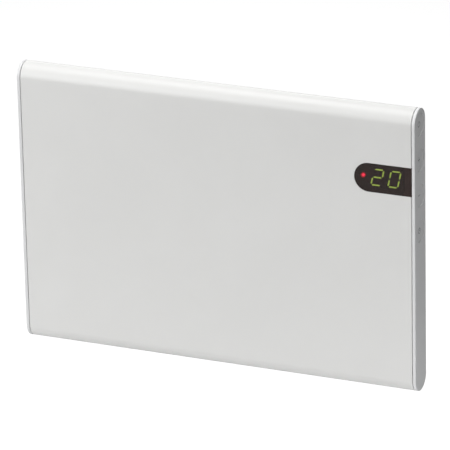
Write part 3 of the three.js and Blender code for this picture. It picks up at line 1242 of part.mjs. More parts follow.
add('board_carrier', boardCarrier(), 'black_plastic');
add('power_board', powerBoard(), 'board_green');
add('transformer', transformer(), 'zinc_steel');
add('relay', relay(), 'black_plastic');
add('capacitor', capacitor(), 'black_plastic');
add('terminal_block', terminalBlock(), 'ceramic');
add('mains_gland', mainsGland(), 'black_plastic');
add('gland_nut', glandNut(), 'black_plastic');
add('room_sensor', roomSensor(), 'black_plastic');

add('partition', partition(), 'zinc_steel');
add('partition_grommet', grommet(), 'rubber');
add('finned_element', finnedBody(), 'fin_aluminium');
add('sheathed_rod', sheathedRod(), 'rod_steel');
add('thermal_cutout', thermalCutout(), 'fin_aluminium');
add('cutout_strap', cutoutStrap(), 'zinc_steel');

add('supply_lead_live', supplyLead(0), 'wire_brown');
add('supply_lead_neutral', supplyLead(1), 'wire_blue');
add('earth_lead', earthLead(), 'wire_earth');
add('cutout_feed_lead', cutoutFeed(), 'wire_brown');
add('cutout_element_lead', cutoutToElement(), 'wire_brown');
add('element_return_lead', elementReturn(), 'wire_blue');
add('sensor_lead', sensorLead(), 'ribbon_grey');
add('display_ribbon', displayRibbon(), 'ribbon_grey');
add('key_cable', keyCable(), 'ribbon_grey');

caseScrewPlaces().forEach(([x, z], i) => {
  add(`case_screw_${i + 1}`, caseScrew([x, REAR_Y + FIT, z]), 'zinc_steel');
});

export default heater;
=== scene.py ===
import json
from math import cos, pi, radians, sin, sqrt, tan

import bmesh
import bpy
from mathutils import Matrix, Vector


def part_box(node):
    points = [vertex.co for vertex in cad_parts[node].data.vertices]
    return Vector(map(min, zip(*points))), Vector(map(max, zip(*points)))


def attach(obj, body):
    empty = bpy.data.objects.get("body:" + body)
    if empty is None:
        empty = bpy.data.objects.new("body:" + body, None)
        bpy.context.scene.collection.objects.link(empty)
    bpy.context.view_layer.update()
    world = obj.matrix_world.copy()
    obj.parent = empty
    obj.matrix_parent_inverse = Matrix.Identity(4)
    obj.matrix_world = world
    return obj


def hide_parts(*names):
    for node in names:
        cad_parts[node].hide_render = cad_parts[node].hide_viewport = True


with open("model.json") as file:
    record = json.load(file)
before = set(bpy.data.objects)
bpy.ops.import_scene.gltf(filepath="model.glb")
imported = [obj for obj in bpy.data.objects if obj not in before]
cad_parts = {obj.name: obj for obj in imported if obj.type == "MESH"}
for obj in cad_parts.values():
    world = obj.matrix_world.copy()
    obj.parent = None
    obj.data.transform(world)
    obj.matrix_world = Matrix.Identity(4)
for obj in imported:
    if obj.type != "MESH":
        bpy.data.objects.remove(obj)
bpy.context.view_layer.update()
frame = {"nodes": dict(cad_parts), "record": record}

scene = bpy.context.scene


def middle(node):
    """Centre of a CAD node's box."""
    low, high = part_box(node)
    return (low + high) / 2


# ---- sizes, in metres

MM = 0.001
CORNERS = ((-1, -1), (1, -1), (1, 1), (-1, 1))

CAP_LOW, CAP_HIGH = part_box("end_cap_right")
HALF = CAP_HIGH.x
FRONT_Y, REAR_Y = CAP_LOW.y, CAP_HIGH.y
BOTTOM_Z, TOP_Z = CAP_LOW.z, CAP_HIGH.z
MID_Y = (FRONT_Y + REAR_Y) / 2
END_RADIUS = (REAR_Y - FRONT_Y) / 2
ARC_Z = TOP_Z - END_RADIUS
SPIGOT_END = CAP_LOW.x

SHEET = 1.2 * MM
FIT = 0.3 * MM
CRISP = 28.0  # degrees; edges that turn by more stay crisp
CAP_STRIP = 4.0 * MM
SEAM_GAP = 1.0 * MM
PANEL_HALF = HALF - CAP_STRIP - SEAM_GAP
CAP_FACE = 2.4 * MM
CAP_EDGE = 0.9 * MM
CAP_RELIEF = 1.2 * MM
CAP_RELIEF_Z = BOTTOM_Z + 19 * MM
COLLAR_DEPTH = 7.8 * MM  # from the cap's outer face to the collars' inner ends
PILLAR_RADIUS = 2.4 * MM
BOSS_HALF = 4 * MM
PILOT_RADIUS = 1.35 * MM

OPEN_ANGLE = 35.0  # degrees past the crest where the front panel ends
LAP_ANGLE = 9.0
JOGGLE_ANGLE = 4.0

SLOT_WIDTH = 6 * MM
SLOT_PITCH = 27 * MM
SLOT_RISE = 12 * MM
SLOT_DROP = 28 * MM
SLOT_MARGIN = 13 * MM
GLAND_HOLE = 7.3 * MM
SCREW_HOLE = 1.9 * MM

BUTTONS = ("standby", "plus", "minus", "timer")
BUTTON_RADIUS = 14 * MM
BUTTON_PLAY = 0.4 * MM
BUTTON_DISH = 0.5 * MM
BUTTON_SUNK = 1.2 * MM
BUTTON_FLANGE = 1.2 * MM
BUTTON_EDGE = 0.35 * MM
BUTTON_STEM = 3 * MM
BUTTON_STEPS = 72  # points round a button, its opening and its collar
MARK_WIDTH = 0.7 * MM
MARK_REACH = 3.4 * MM

WINDOW_HEIGHT = 37.3 * MM
WINDOW_LENGTH = 79.0 * MM  # from the cap's face to the tip of the rounded end
WINDOW_GAP = 0.1 * MM
WINDOW_EDGE = 0.15 * MM
WINDOW_RIM = 3 * MM  # how far the rim reaches behind the panel
DIGIT_HEIGHT = 22.4 * MM
DIGIT_WIDTH = 14.4 * MM
DIGIT_BAR = 1.9 * MM
DIGIT_GAP = 0.9 * MM
DIGIT_LEAN = 0.22
DIGIT_PROUD = 0.15 * MM
DIGIT_RISE = 0.45 * MM  # above the window's middle
DIGIT_FROM_FACE = {"2": 49.5 * MM, "0": 27.5 * MM}  # from the cap's face to a digit's middle
LAMP_PAINTED_HIGHLIGHT = (1.5 * MM, -2.1 * MM, 1.5 * MM)  # a painted highlight, paler and brighter, on the dome's upper right front, from the dome's centre

POST_SHEET = 2 * MM
POST_DEPTH = 10 * MM
BEND = 3 * MM
PIN_RADIUS = 3 * MM
HOOK_RADIUS = 6.2 * MM
HOOK_RISE = 7.2 * MM
FOOT_SHEET = 2 * MM
SCREW_SLOT = (6 * MM, 14 * MM)
SCREW_UP = 75 * MM
CROSS_SLOT_AT = 50 * MM
GLAND_BORE = 3.6 * MM

CAMERA_AT = (2.0122, -4.7132, 1.9857)
CAMERA_TURN = 23.31  # degrees to the right of the front
CAMERA_RISE = 21.39
CAMERA_ROLL = -1.25
CAMERA_FOCUS = 4383 / 450  # focal length over the frame's width
FLOOR_Z = BOTTOM_Z - 0.5
FLOOR_GLOW = 0.7  # what the camera sees of the floor beyond its own light
FLOOR_REACH = 14.0
WORLD_LIGHT = 0.158
LAMPS = {  # place, aim, size, power in watts
    "overhead": ((-0.1, -0.35, 2.2), (0, -0.06, 0), (2.6, 1.1), 40),
    "front_left": ((-1.95, -2.85, 1.15), (0, -0.06, 0), (1.8, 1.8), 58.5),
    "low_front": ((-0.2, -0.62, FLOOR_Z + 0.04), (0, -0.06, -0.17), (1.8, 0.5), 2.5),
    "low_right": ((0.6, -0.3, -0.4), (0.26, -0.06, -0.17), (0.3, 0.3), 0.58),
    "rear": ((-1.2, 2.6, 1.4), (0, -0.03, 0), (1.6, 1.6), 16),
}


# ---- node trees

def put(tree, kind, values=None, **settings):
    """A node with its settings and its unlinked input values."""
    node = tree.nodes.new(kind)
    for key, value in settings.items():
        setattr(node, key, value)
    for key, value in (values or {}).items():
        node.inputs[key].default_value = value
    return node


def wire(tree, *links):
    """Links between nodes, each given as (node, output, node, input)."""
    for source, out, target, into in links:
        tree.links.new(source.outputs[out], target.inputs[into])


def new_group(name, kind, inputs, outputs):
    """A node group and its two end nodes; an input has its default, or its type's name where it has none."""
    tree = bpy.data.node_groups.new(name, kind)
    for label, default in inputs.items():
        bare = isinstance(default, str)
        socket = default if bare else {float: "Float", int: "Int", tuple: "Vector"}[type(default)]
        made = tree.interface.new_socket(label, in_out="INPUT", socket_type="NodeSocket" + socket)
        if not bare:
            made.default_value = default
    for label, socket in outputs.items():
        tree.interface.new_socket(label, in_out="OUTPUT", socket_type="NodeSocket" + socket)
    return tree, put(tree, "NodeGroupInput"), put(tree, "NodeGroupOutput")


def mesh_group(name, inputs):
    """A geometry node group that takes a mesh and some values, and gives a mesh."""
    return new_group(name, "GeometryNodeTree", {"Geometry": "Geometry", **inputs}, {"Geometry": "Geometry"})


# ---- surface effects that materials share

def ripple_group():
    """Slow waves and a fine skin, as sprayed powder or a moulding has: height, and a mask of both."""
    tree, ins, outs = new_group(
        "sprayed_skin", "ShaderNodeTree", {"Wave Size": 90.0, "Skin Size": 900.0, "Skin Share": 0.4},
        {"Height": "Float", "Mask": "Float"},
    )
    where = put(tree, "ShaderNodeTexCoord")
    wave = put(tree, "ShaderNodeTexNoise", {"Detail": 2.0, "Roughness": 0.4})
    skin = put(tree, "ShaderNodeTexNoise", {"Detail": 3.0, "Roughness": 0.6})
    mix = put(tree, "ShaderNodeMix", data_type="FLOAT")
    spread = put(tree, "ShaderNodeMapRange", {"From Min": 0.35, "From Max": 0.65})
    wire(
        tree,
        (where, "Object", wave, "Vector"), (ins, "Wave Size", wave, "Scale"),
        (where, "Object", skin, "Vector"), (ins, "Skin Size", skin, "Scale"),
        (ins, "Skin Share", mix, "Factor"), (wave, "Fac", mix, "A"), (skin, "Fac", mix, "B"),
        (mix, "Result", spread, "Value"), (mix, "Result", outs, "Height"), (spread, "Result", outs, "Mask"),
    )
    return tree


def handling_group():
    """Large soft clouds that shift roughness and tone, as dust and hands leave them."""
    tree, ins, outs = new_group(
        "handling_clouds", "ShaderNodeTree", {"Cloud Size": 9.0, "Low": 0.0, "High": 1.0},
        {"Value": "Float", "Mask": "Float"},
    )
    where = put(tree, "ShaderNodeTexCoord")
    cloud = put(tree, "ShaderNodeTexNoise", {"Detail": 4.0, "Roughness": 0.55, "Distortion": 0.4})
    mask = put(tree, "ShaderNodeMapRange", {"From Min": 0.38, "From Max": 0.66})
    value = put(tree, "ShaderNodeMapRange")
    wire(
        tree,
        (where, "Object", cloud, "Vector"), (ins, "Cloud Size", cloud, "Scale"),
        (cloud, "Fac", mask, "Value"), (mask, "Result", value, "Value"),
        (ins, "Low", value, "To Min"), (ins, "High", value, "To Max"),
        (value, "Result", outs, "Value"), (mask, "Result", outs, "Mask"),
    )
    return tree


def rolled_group():
    """Lines drawn out along one axis with a spangle over them, as rolled and plated metal has."""
    tree, ins, outs = new_group(
        "rolled_lines", "ShaderNodeTree",
        {"Stretch": (8.0, 900.0, 900.0), "Spangle Size": 160.0, "Spangle Share": 0.3},
        {"Height": "Float", "Tone": "Float"},
    )
    where = put(tree, "ShaderNodeTexCoord")
    scaled = put(tree, "ShaderNodeVectorMath", operation="MULTIPLY")
    lines = put(tree, "ShaderNodeTexNoise", {"Scale": 1.0, "Detail": 3.0, "Roughness": 0.6})
    spangle = put(tree, "ShaderNodeTexVoronoi")
    tone = put(tree, "ShaderNodeMix", data_type="FLOAT")
    wire(
        tree,
        (where, "Object", scaled, 0), (ins, "Stretch", scaled, 1), (scaled, "Vector", lines, "Vector"),
        (where, "Object", spangle, "Vector"), (ins, "Spangle Size", spangle, "Scale"),
        (ins, "Spangle Share", tone, "Factor"), (lines, "Fac", tone, "A"), (spangle, "Color", tone, "B"),
        (lines, "Fac", outs, "Height"), (tone, "Result", outs, "Tone"),
    )
    return tree


SPRAYED, HANDLING, ROLLED = ripple_group(), handling_group(), rolled_group()


# ---- materials

def new_material(name, **plain):
    """A material with a Principled shader; plain values go on its own sockets."""
    made = bpy.data.materials.new(name)
    made.use_nodes = True
    tree = made.node_tree
    shader = tree.nodes["Principled BSDF"]
    for key, value in plain.items():
        shader.inputs[key.replace("_", " ")].default_value = value
    return made, tree, shader


def clouded(tree, shader, low, high, size=9.0):
    """Lets the clouds move a material's roughness between two values."""
    cloud = put(tree, "ShaderNodeGroup", {"Cloud Size": size, "Low": low, "High": high}, node_tree=HANDLING)
    wire(tree, (cloud, "Value", shader, "Roughness"))
    return cloud


def tint(tree, shader, source, out, dark, light, sockets=("Base Color",)):
    """Lets another node's output run the shader's sockets from dark to light."""
    mix = put(tree, "ShaderNodeMix", {"A": (*dark, 1), "B": (*light, 1)}, data_type="RGBA")
    wire(tree, (source, out, mix, "Factor"), *((mix, "Result", shader, socket) for socket in sockets))


def bump(tree, shader, source, strength, distance):
    node = put(tree, "ShaderNodeBump", {"Strength": strength, "Distance": distance})
    wire(tree, (source, "Height", node, "Height"), (node, "Normal", shader, "Normal"))


def skinned(name, dark, light, rough, wave, skin_size, share, depth):
    """Paint or moulded plastic: sprayed skin for height, clouds for tone and gloss."""
    made, tree, shader = new_material(name)
    tint(tree, shader, clouded(tree, shader, *rough), "Mask", dark, light)
    sprayed = put(tree, "ShaderNodeGroup", {"Wave Size": wave, "Skin Size": skin_size, "Skin Share": share},
                  node_tree=SPRAYED)
    bump(tree, shader, sprayed, 0.35, depth)
    return made


def metal(name, dark, light, rough, stretch, spangle, share, depth):
    """Rolled, plated or drawn metal."""
    made, tree, shader = new_material(name, Metallic=1.0)
    lines = put(tree, "ShaderNodeGroup", {
        "Stretch": stretch, "Spangle Size": spangle, "Spangle Share": share,
    }, node_tree=ROLLED)
    tint(tree, shader, lines, "Tone", dark, light)
    clouded(tree, shader, *rough, 22)
    bump(tree, shader, lines, 0.25, depth)
    return made


def striped_wire(name, base, stripe):
    """Sleeve of a lead, with a stripe on one side."""
    made, tree, shader = new_material(name)
    where = put(tree, "ShaderNodeTexCoord")
    band = put(tree, "ShaderNodeTexWave", {"Scale": 260.0, "Distortion": 0.6}, bands_direction="DIAGONAL")
    wire(tree, (where, "Object", band, "Vector"))
    tint(tree, shader, band, "Fac", base, stripe)
    clouded(tree, shader, 0.4, 0.6, 40)
    return made


def smoked_plastic():
    """Smoked clear window: the digits behind it shine through."""
    made, tree, shader = new_material("smoked_acrylic", Metallic=0.0, Transmission_Weight=0.86, IOR=1.44)
    cloud = clouded(tree, shader, 0.02, 0.07, 30)
    tint(tree, shader, cloud, "Mask", (0.134, 0.082, 0.069), (0.142, 0.088, 0.075))
    return made


def lit_bar(name, light, strength):
    """A lit bar of a digit: its light varies a little along it, as the diode under it spreads."""
    made, tree, shader = new_material(name, Emission_Strength=strength)
    tint(tree, shader, clouded(tree, shader, 0.25, 0.4, 300), "Mask", tuple(0.8 * c for c in light), light,
         ("Base Color", "Emission Color"))
    return made


def lit_lens(name, centre, painted_highlight_at, reach, body, light, painted_highlight_colour, strength):
    """A lit round lamp: a red dome glowing round centre, with a painted highlight, a paler and brighter glow
    round a second point on the dome.
    """
    made, tree, shader = new_material(name)
    where = put(tree, "ShaderNodeTexCoord")
    power = put(tree, "ShaderNodeMath", operation="MULTIPLY")
    # The first falloff lights the whole dome; the second brightens it round the painted highlight.
    for i, (place, near, far, lit, dim) in enumerate((
        (centre, 1.05, 1.3, strength, 0.02), (painted_highlight_at, 0.25, 0.85, 1.0, 0.22),
    )):
        away = put(tree, "ShaderNodeVectorMath", {1: place}, operation="DISTANCE")
        fall = put(tree, "ShaderNodeMapRange", {
            "From Min": near * reach, "From Max": far * reach, "To Min": lit, "To Max": dim,
        })
        wire(tree, (where, "Object", away, 0), (away, "Value", fall, "Value"), (fall, "Result", power, i))
    wire(tree, (power, "Value", shader, "Emission Strength"))
    tint(tree, shader, clouded(tree, shader, 0.15, 0.3, 300), "Mask", body, light)
    # The glow turns paler towards the painted highlight.
    tint(tree, shader, fall, "Result", light, painted_highlight_colour, ("Emission Color",))
    return made


PANEL_PAINT = skinned("white_powder_coat", (0.785, 0.785, 0.772), (0.80, 0.80, 0.787), (0.38, 0.46),
                      110, 1300, 0.35, 6e-5)
CAP_PLASTIC = skinned("white_cap_plastic", (0.79, 0.795, 0.80), (0.805, 0.81, 0.815), (0.38, 0.46),
                      240, 2600, 0.75, 4e-5)
BUTTON_PLASTIC = skinned("white_button_plastic", (0.77, 0.775, 0.78), (0.785, 0.79, 0.795), (0.34, 0.42),
                         240, 2600, 0.75, 3e-5)
# Painted shade: dark strokes for the buttons' signs, standing in for the shade on embossed signs.
SIGN_PAINTED_SHADE = skinned("icon_ink", (0.19, 0.19, 0.195), (0.22, 0.22, 0.225), (0.5, 0.6), 300, 3000, 0.6, 1e-5)
BLACK_PLASTIC = skinned("black_moulding", (0.022, 0.022, 0.024), (0.032, 0.032, 0.034), (0.42, 0.58),
                        220, 2400, 0.8, 5e-5)
ZINC = metal("zinc_plate", (0.52, 0.53, 0.54), (0.72, 0.73, 0.74), (0.3, 0.44),
             (420, 420, 10), 190, 0.35, 3e-5)
SPRING_STEEL = metal("spring_strip", (0.36, 0.37, 0.38), (0.5, 0.51, 0.52), (0.22, 0.32),
                     (700, 14, 700), 300, 0.1, 2e-5)
SMOKED = smoked_plastic()
LIT_GREEN = lit_bar("lit_green_bar", (0.45, 1.0, 0.18), 5.9)
LAMP_LOW, LAMP_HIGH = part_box("status_led")
LAMP_RADIUS = (LAMP_HIGH.x - LAMP_LOW.x) / 2
LAMP_AT = Vector((middle("status_led").x, LAMP_LOW.y + LAMP_RADIUS, middle("status_led").z))
# The red lamp glows, and carries a painted highlight at its upper right front.
LIT_RED = lit_lens("lit_red_lens", LAMP_AT, LAMP_AT + Vector(LAMP_PAINTED_HIGHLIGHT), LAMP_RADIUS,
                   (0.35, 0.01, 0.02), (1.0, 0.004, 0.05), (1.0, 0.05, 0.17), 12.5)
UNLIT_BAR = skinned("unlit_bar", (0.035, 0.035, 0.03), (0.045, 0.045, 0.04), (0.4, 0.5), 300, 2000, 0.5, 1e-5)

NODE_FINISH = {
    "white_steel": PANEL_PAINT, "white_plastic": CAP_PLASTIC, "smoked_window": SMOKED, "zinc_steel": ZINC,
    "spring_steel": SPRING_STEEL, "black_plastic": BLACK_PLASTIC, "lamp_red": LIT_RED,
    "fin_aluminium": metal("extruded_aluminium", (0.66, 0.67, 0.68), (0.8, 0.81, 0.82), (0.26, 0.36),
                           (6, 900, 900), 120, 0.1, 3e-5),
    "rod_steel": metal("heat_tinted_sheath", (0.26, 0.22, 0.17), (0.5, 0.46, 0.4), (0.3, 0.42),
                       (25, 300, 300), 60, 0.5, 3e-5),
    "board_green": skinned("green_board", (0.018, 0.12, 0.045), (0.03, 0.17, 0.07), (0.25, 0.4),
                           400, 2000, 0.6, 2e-5),
    "ceramic": skinned("steatite", (0.72, 0.68, 0.58), (0.82, 0.79, 0.70), (0.6, 0.75), 160, 1800, 0.7, 8e-5),
    "rubber": skinned("black_rubber", (0.016, 0.016, 0.016), (0.03, 0.03, 0.03), (0.7, 0.85),
                      180, 1500, 0.7, 6e-5),
    "ribbon_grey": skinned("grey_insulation", (0.34, 0.35, 0.36), (0.42, 0.43, 0.44), (0.45, 0.6),
                           200, 1200, 0.5, 3e-5),
    "wire_brown": striped_wire("brown_sleeve", (0.16, 0.06, 0.03), (0.2, 0.08, 0.045)),
    "wire_blue": striped_wire("blue_sleeve", (0.04, 0.11, 0.34), (0.06, 0.15, 0.42)),
    "wire_earth": striped_wire("earth_sleeve", (0.05, 0.26, 0.05), (0.62, 0.55, 0.03)),
}
for row in frame["record"]["subparts"]:
    slots = frame["nodes"][row["node"]].data.materials
    slots.clear()
    slots.append(NODE_FINISH[row["material_slot"]])


# ---- mesh makers

def add(name, data):
    made = bpy.data.objects.new(name, data)
    scene.collection.objects.link(made)
    return made


def to_object(name, bm, finish):
    bmesh.ops.recalc_face_normals(bm, faces=bm.faces)
    mesh = bpy.data.meshes.new(name)
    bm.to_mesh(mesh)
    bm.free()
    mesh.materials.append(finish)
    return add(name, mesh)


def smooth(made, angle=32.0):
    mesh = made.data
    mesh.polygons.foreach_set("use_smooth", [True] * len(mesh.polygons))
    mesh.set_sharp_from_angle(angle=radians(angle))
    return made


def skin(bm, rings, closed_loop=False):
    """A skin through rings of equal count; its two ends are filled unless the loop closes on itself."""
    rows = [[bm.verts.new(p) for p in ring] for ring in rings]
    for low, high in zip(rows, rows[1:] + rows[:1] if closed_loop else rows[1:]):
        for i in range(len(low)):
            j = (i + 1) % len(low)
            bm.faces.new((low[i], low[j], high[j], high[i]))
    if not closed_loop:
        bm.faces.new(rows[0])
        bm.faces.new(list(reversed(rows[-1])))


def loft(name, rings, finish, closed_loop=False):
    """A skin through rings as a piece of its own."""
    bm = bmesh.new()
    skin(bm, rings, closed_loop)
    bmesh.ops.remove_doubles(bm, verts=bm.verts, dist=1e-7)
    return to_object(name, bm, finish)


def turns(start, end, steps):
    """Angles from start to end, which are in degrees."""
    return [radians(start + (end - start) * i / steps) for i in range(steps + 1)]


def around(u, v, radius, angles):
    """Points at some angles round (u, v)."""
    return [(u + radius * cos(a), v + radius * sin(a)) for a in angles]


def across(axis, a, b, h):
    """A point at (a, b) across an axis and h along it; axis x takes (y, z), y takes (x, z)."""
    return {"x": (h, a, b), "y": (a, h, b), "z": (a, b, h)}[axis]


def circle(axis, centre, radius, height, steps):
    """Points of a circle round an axis through centre, height along it."""
    return [tuple(c + o for c, o in zip(centre, across(axis, u, v, height)))
            for u, v in around(0, 0, radius, turns(0, 360, steps)[:-1])]


def lathe(name, profile, axis, centre, finish, steps, closed_loop=False):
    """A turned piece from (radius, height) pairs."""
    rings = [circle(axis, centre, max(radius, 0.01 * MM), height, steps) for radius, height in profile]
    return smooth(loft(name, rings, finish, closed_loop))


def peg(axis, radius, low, high, centre, finish, steps=24):
    """A plain round bar, for a hole or a pillar."""
    return lathe("peg", [(radius, low), (radius, high)], axis, centre, finish, steps)


def prism(name, outline, axis, low, high, finish):
    """An outline drawn across an axis, between two heights along it."""
    return loft(name, [[across(axis, a, b, h) for a, b in outline] for h in (low, high)], finish)


def block(low, high, finish):
    """A plain box, for cutting or joining."""
    (x0, y0, z0), (x1, y1, z1) = low, high
    return prism("block", [(y0, z0), (y1, z0), (y1, z1), (y0, z1)], "x", x0, x1, finish)


def rounded(points, steps=6):
    """An outline in which a corner given with a third number, its radius, becomes an arc."""
    out = []
    for i, point in enumerate(points):
        here = Vector(point[:2])
        if len(point) < 3:
            out.append(tuple(here))
            continue
        before = (Vector(points[i - 1][:2]) - here).normalized()
        after = (Vector(points[(i + 1) % len(points)][:2]) - here).normalized()
        half = before.angle(after) / 2
        reach = point[2] / tan(half)
        centre = here + (before + after).normalized() * point[2] / sin(half)
        start = (here + before * reach - centre).normalized()
        end = (here + after * reach - centre).normalized()
        out += [tuple(centre + start.slerp(end, k / steps) * point[2]) for k in range(steps + 1)]
    return out


def in_mm(points, u=0, v=0):
    """Points, and any corner radii, given in millimetres from (u, v)."""
    return [(u + p[0] * MM, v + p[1] * MM, *(r * MM for r in p[2:])) for p in points]


def bake(made):
    """Replaces an object's mesh by what its modifiers make of it."""
    graph = bpy.context.evaluated_depsgraph_get()
    mesh = bpy.data.meshes.new_from_object(made.evaluated_get(graph))
    made.modifiers.clear()
    old, made.data = made.data, mesh
    bpy.data.meshes.remove(old)
    return made


def carve(body, tools, operation="DIFFERENCE"):
    """Cuts the tools out of a body, joins them to it, or keeps what they share; the tools are used up."""
    for tool in tools:
        step = body.modifiers.new("carve", "BOOLEAN")
        step.operation, step.solver, step.object = operation, "EXACT", tool
    bake(body)
    for tool in tools:
        bpy.data.objects.remove(tool)
    return body


def soften(made, width):
    """Rounds the sharp edges of a finished piece."""
    step = made.modifiers.new("edge", "BEVEL")
    step.width, step.segments, step.limit_method = width, 2, "ANGLE"
    step.angle_limit, step.harden_normals = radians(40), True
    return smooth(made)


def seat(made, body, slot, *nodes):
    """Puts a piece on its body and hides the nodes that it stands for; slot is not used."""
    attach(made, body)
    if nodes:
        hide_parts(*nodes)


# ---- casing

SCREWS = ("case_screw_1", "case_screw_2", "case_screw_3", "case_screw_4")


def arc(centre, radius, start, end, steps):
    """Points in (y, z) round a casing arc, angles in degrees from the rear."""
    return around(MID_Y, centre, radius, turns(start, end, steps))


def window_outline(grow, right):
    """Window outline in (x, z), from its lower right corner round its rounded left end."""
    z, radius = middle("display_window").z, WINDOW_HEIGHT / 2 + grow
    centre = HALF - WINDOW_LENGTH + WINDOW_HEIGHT / 2
    return [(right, z - radius), (right, z + radius)] + around(centre, z, radius, turns(90, 270, 28))


def front_panel():
    """The painted front: flat between two half rounds, with the window's notch at its right edge."""
    bm = bmesh.new()
    notch = window_outline(0, PANEL_HALF)
    flat = [(-PANEL_HALF, -ARC_Z), (PANEL_HALF, -ARC_Z), notch[0], *reversed(notch[2:]), notch[1],
            (PANEL_HALF, ARC_Z), (-PANEL_HALF, ARC_Z)]
    face = [bm.verts.new((x, FRONT_Y, z)) for x, z in flat]
    bm.faces.new(face)
    for edge, centre, end in ((face[-2:], ARC_Z, 90 - OPEN_ANGLE), (face[:2], -ARC_Z, 270 + OPEN_ANGLE)):
        row = sorted(edge, key=lambda v: v.co.x)
        for y, z in arc(centre, END_RADIUS, 180, end, 36)[1:]:
            nxt = [bm.verts.new((side * PANEL_HALF, y, z)) for side in (-1, 1)]
            bm.faces.new((row[0], row[1], nxt[1], nxt[0]))
            row = nxt
    made = to_object("front_panel_sheet", bm, PANEL_PAINT)
    if min(made.data.polygons, key=lambda p: p.center.y).normal.y > 0:
        made.data.flip_normals()
    smooth(made)
    wall = made.modifiers.new("wall", "SOLIDIFY")
    wall.thickness, wall.offset, wall.use_even_offset = SHEET, -1, True
    return soften(bake(made), 0.25 * MM)


def back_panel_blank():
    """The rear sheet before its slots: flat, rounded top and bottom, with a lip that runs under the front."""
    edge = 90 - OPEN_ANGLE - 2
    lip = END_RADIUS - SHEET - FIT
    outer, inner = [], []
    for centre, side in ((-ARC_Z, -1), (ARC_Z, 1)):
        lap = side * (edge + LAP_ANGLE)
        outer.append(arc(centre, END_RADIUS, 0, side * edge, 20)
                     + arc(centre, lip, side * (edge + JOGGLE_ANGLE), lap, 3))
        inner.append(arc(centre, END_RADIUS - SHEET, 0, side * (edge - 1), 20)
                     + arc(centre, lip - SHEET, side * (edge + JOGGLE_ANGLE - 1), lap, 3))
    outline = outer[0][::-1] + outer[1] + inner[1][::-1] + inner[0]
    made = prism("back_panel_sheet", outline, "x", -PANEL_HALF, PANEL_HALF, PANEL_PAINT)
    keep = SPIGOT_END - FIT  # the lips end before the caps' spigots
    back = REAR_Y - END_RADIUS * (1 - cos(radians(edge)))
    rise = ARC_Z + END_RADIUS * sin(radians(edge))
    return carve(made, [
        block((x0, back - 8 * MM, z - 6 * MM), (x1, back - 0.02 * MM, z + 6 * MM), PANEL_PAINT)
        for x0, x1 in ((keep, PANEL_HALF + MM), (-PANEL_HALF - MM, -keep)) for z in (-rise, rise)
    ])


def vent_tree():
    """Geometry nodes: two rows of round-ended slots cut through a sheet."""
    tree, ins, outs = mesh_group("vent_rows", {
        "Count": 16, "Pitch": 0.024, "First": (0, 0, 0), "Row Gap": 0.3, "Slot Width": 0.006,
        "Slot Length": 0.04, "Slot Depth": 0.03, "Paint": "Material",
    })
    step, gap, depth = (put(tree, "ShaderNodeCombineXYZ") for _ in range(3))
    row = put(tree, "GeometryNodeMeshLine", mode="OFFSET")
    second, both, outline, path, spread, solid, real, paint = (put(tree, "GeometryNode" + kind) for kind in (
        "Transform", "JoinGeometry", "CurvePrimitiveQuadrilateral", "CurvePrimitiveLine", "InstanceOnPoints",
        "RealizeInstances", "RealizeInstances", "SetMaterial"))
    half = put(tree, "ShaderNodeMath", {1: 0.499}, operation="MULTIPLY")
    ends = put(tree, "GeometryNodeFilletCurve", {"Count": 8}, mode="POLY")
    cutter = put(tree, "GeometryNodeCurveToMesh", {"Fill Caps": True})
    cut = put(tree, "GeometryNodeMeshBoolean", operation="DIFFERENCE", solver="EXACT")
    wire(
        tree,
        (ins, "Pitch", step, "X"), (ins, "Count", row, "Count"), (step, "Vector", row, "Offset"),
        (ins, "First", row, "Start Location"), (ins, "Row Gap", gap, "Z"),
        (gap, "Vector", second, "Translation"), (row, "Mesh", second, "Geometry"),
        (row, "Mesh", both, "Geometry"), (second, "Geometry", both, "Geometry"),
        (ins, "Slot Width", outline, "Width"), (ins, "Slot Length", outline, "Height"),
        (ins, "Slot Width", half, 0), (half, "Value", ends, "Radius"), (outline, "Curve", ends, "Curve"),
        (ins, "Slot Depth", depth, "Y"), (depth, "Vector", path, "End"), (path, "Curve", cutter, "Curve"),
        (ends, "Curve", cutter, "Profile Curve"), (both, "Geometry", spread, "Points"),
        (cutter, "Mesh", spread, "Instance"), (spread, "Instances", solid, "Geometry"),
        (ins, "Geometry", cut, "Mesh 1"), (solid, "Geometry", cut, "Mesh 2"), (cut, "Mesh", real, "Geometry"),
        (real, "Geometry", paint, "Geometry"), (ins, "Paint", paint, "Material"),
        (paint, "Geometry", outs, "Geometry"),
    )
    return tree


def run_tree(made, tree, **values):
    """Runs a geometry node tree on an object and keeps its result as a plain mesh."""
    step = made.modifiers.new(tree.name, "NODES")
    step.node_group = tree
    for socket in tree.interface.items_tree:
        label = socket.name.replace(" ", "_")
        if socket.item_type == "SOCKET" and socket.in_out == "INPUT" and label in values:
            step[socket.identifier] = values[label]
    return bake(made)


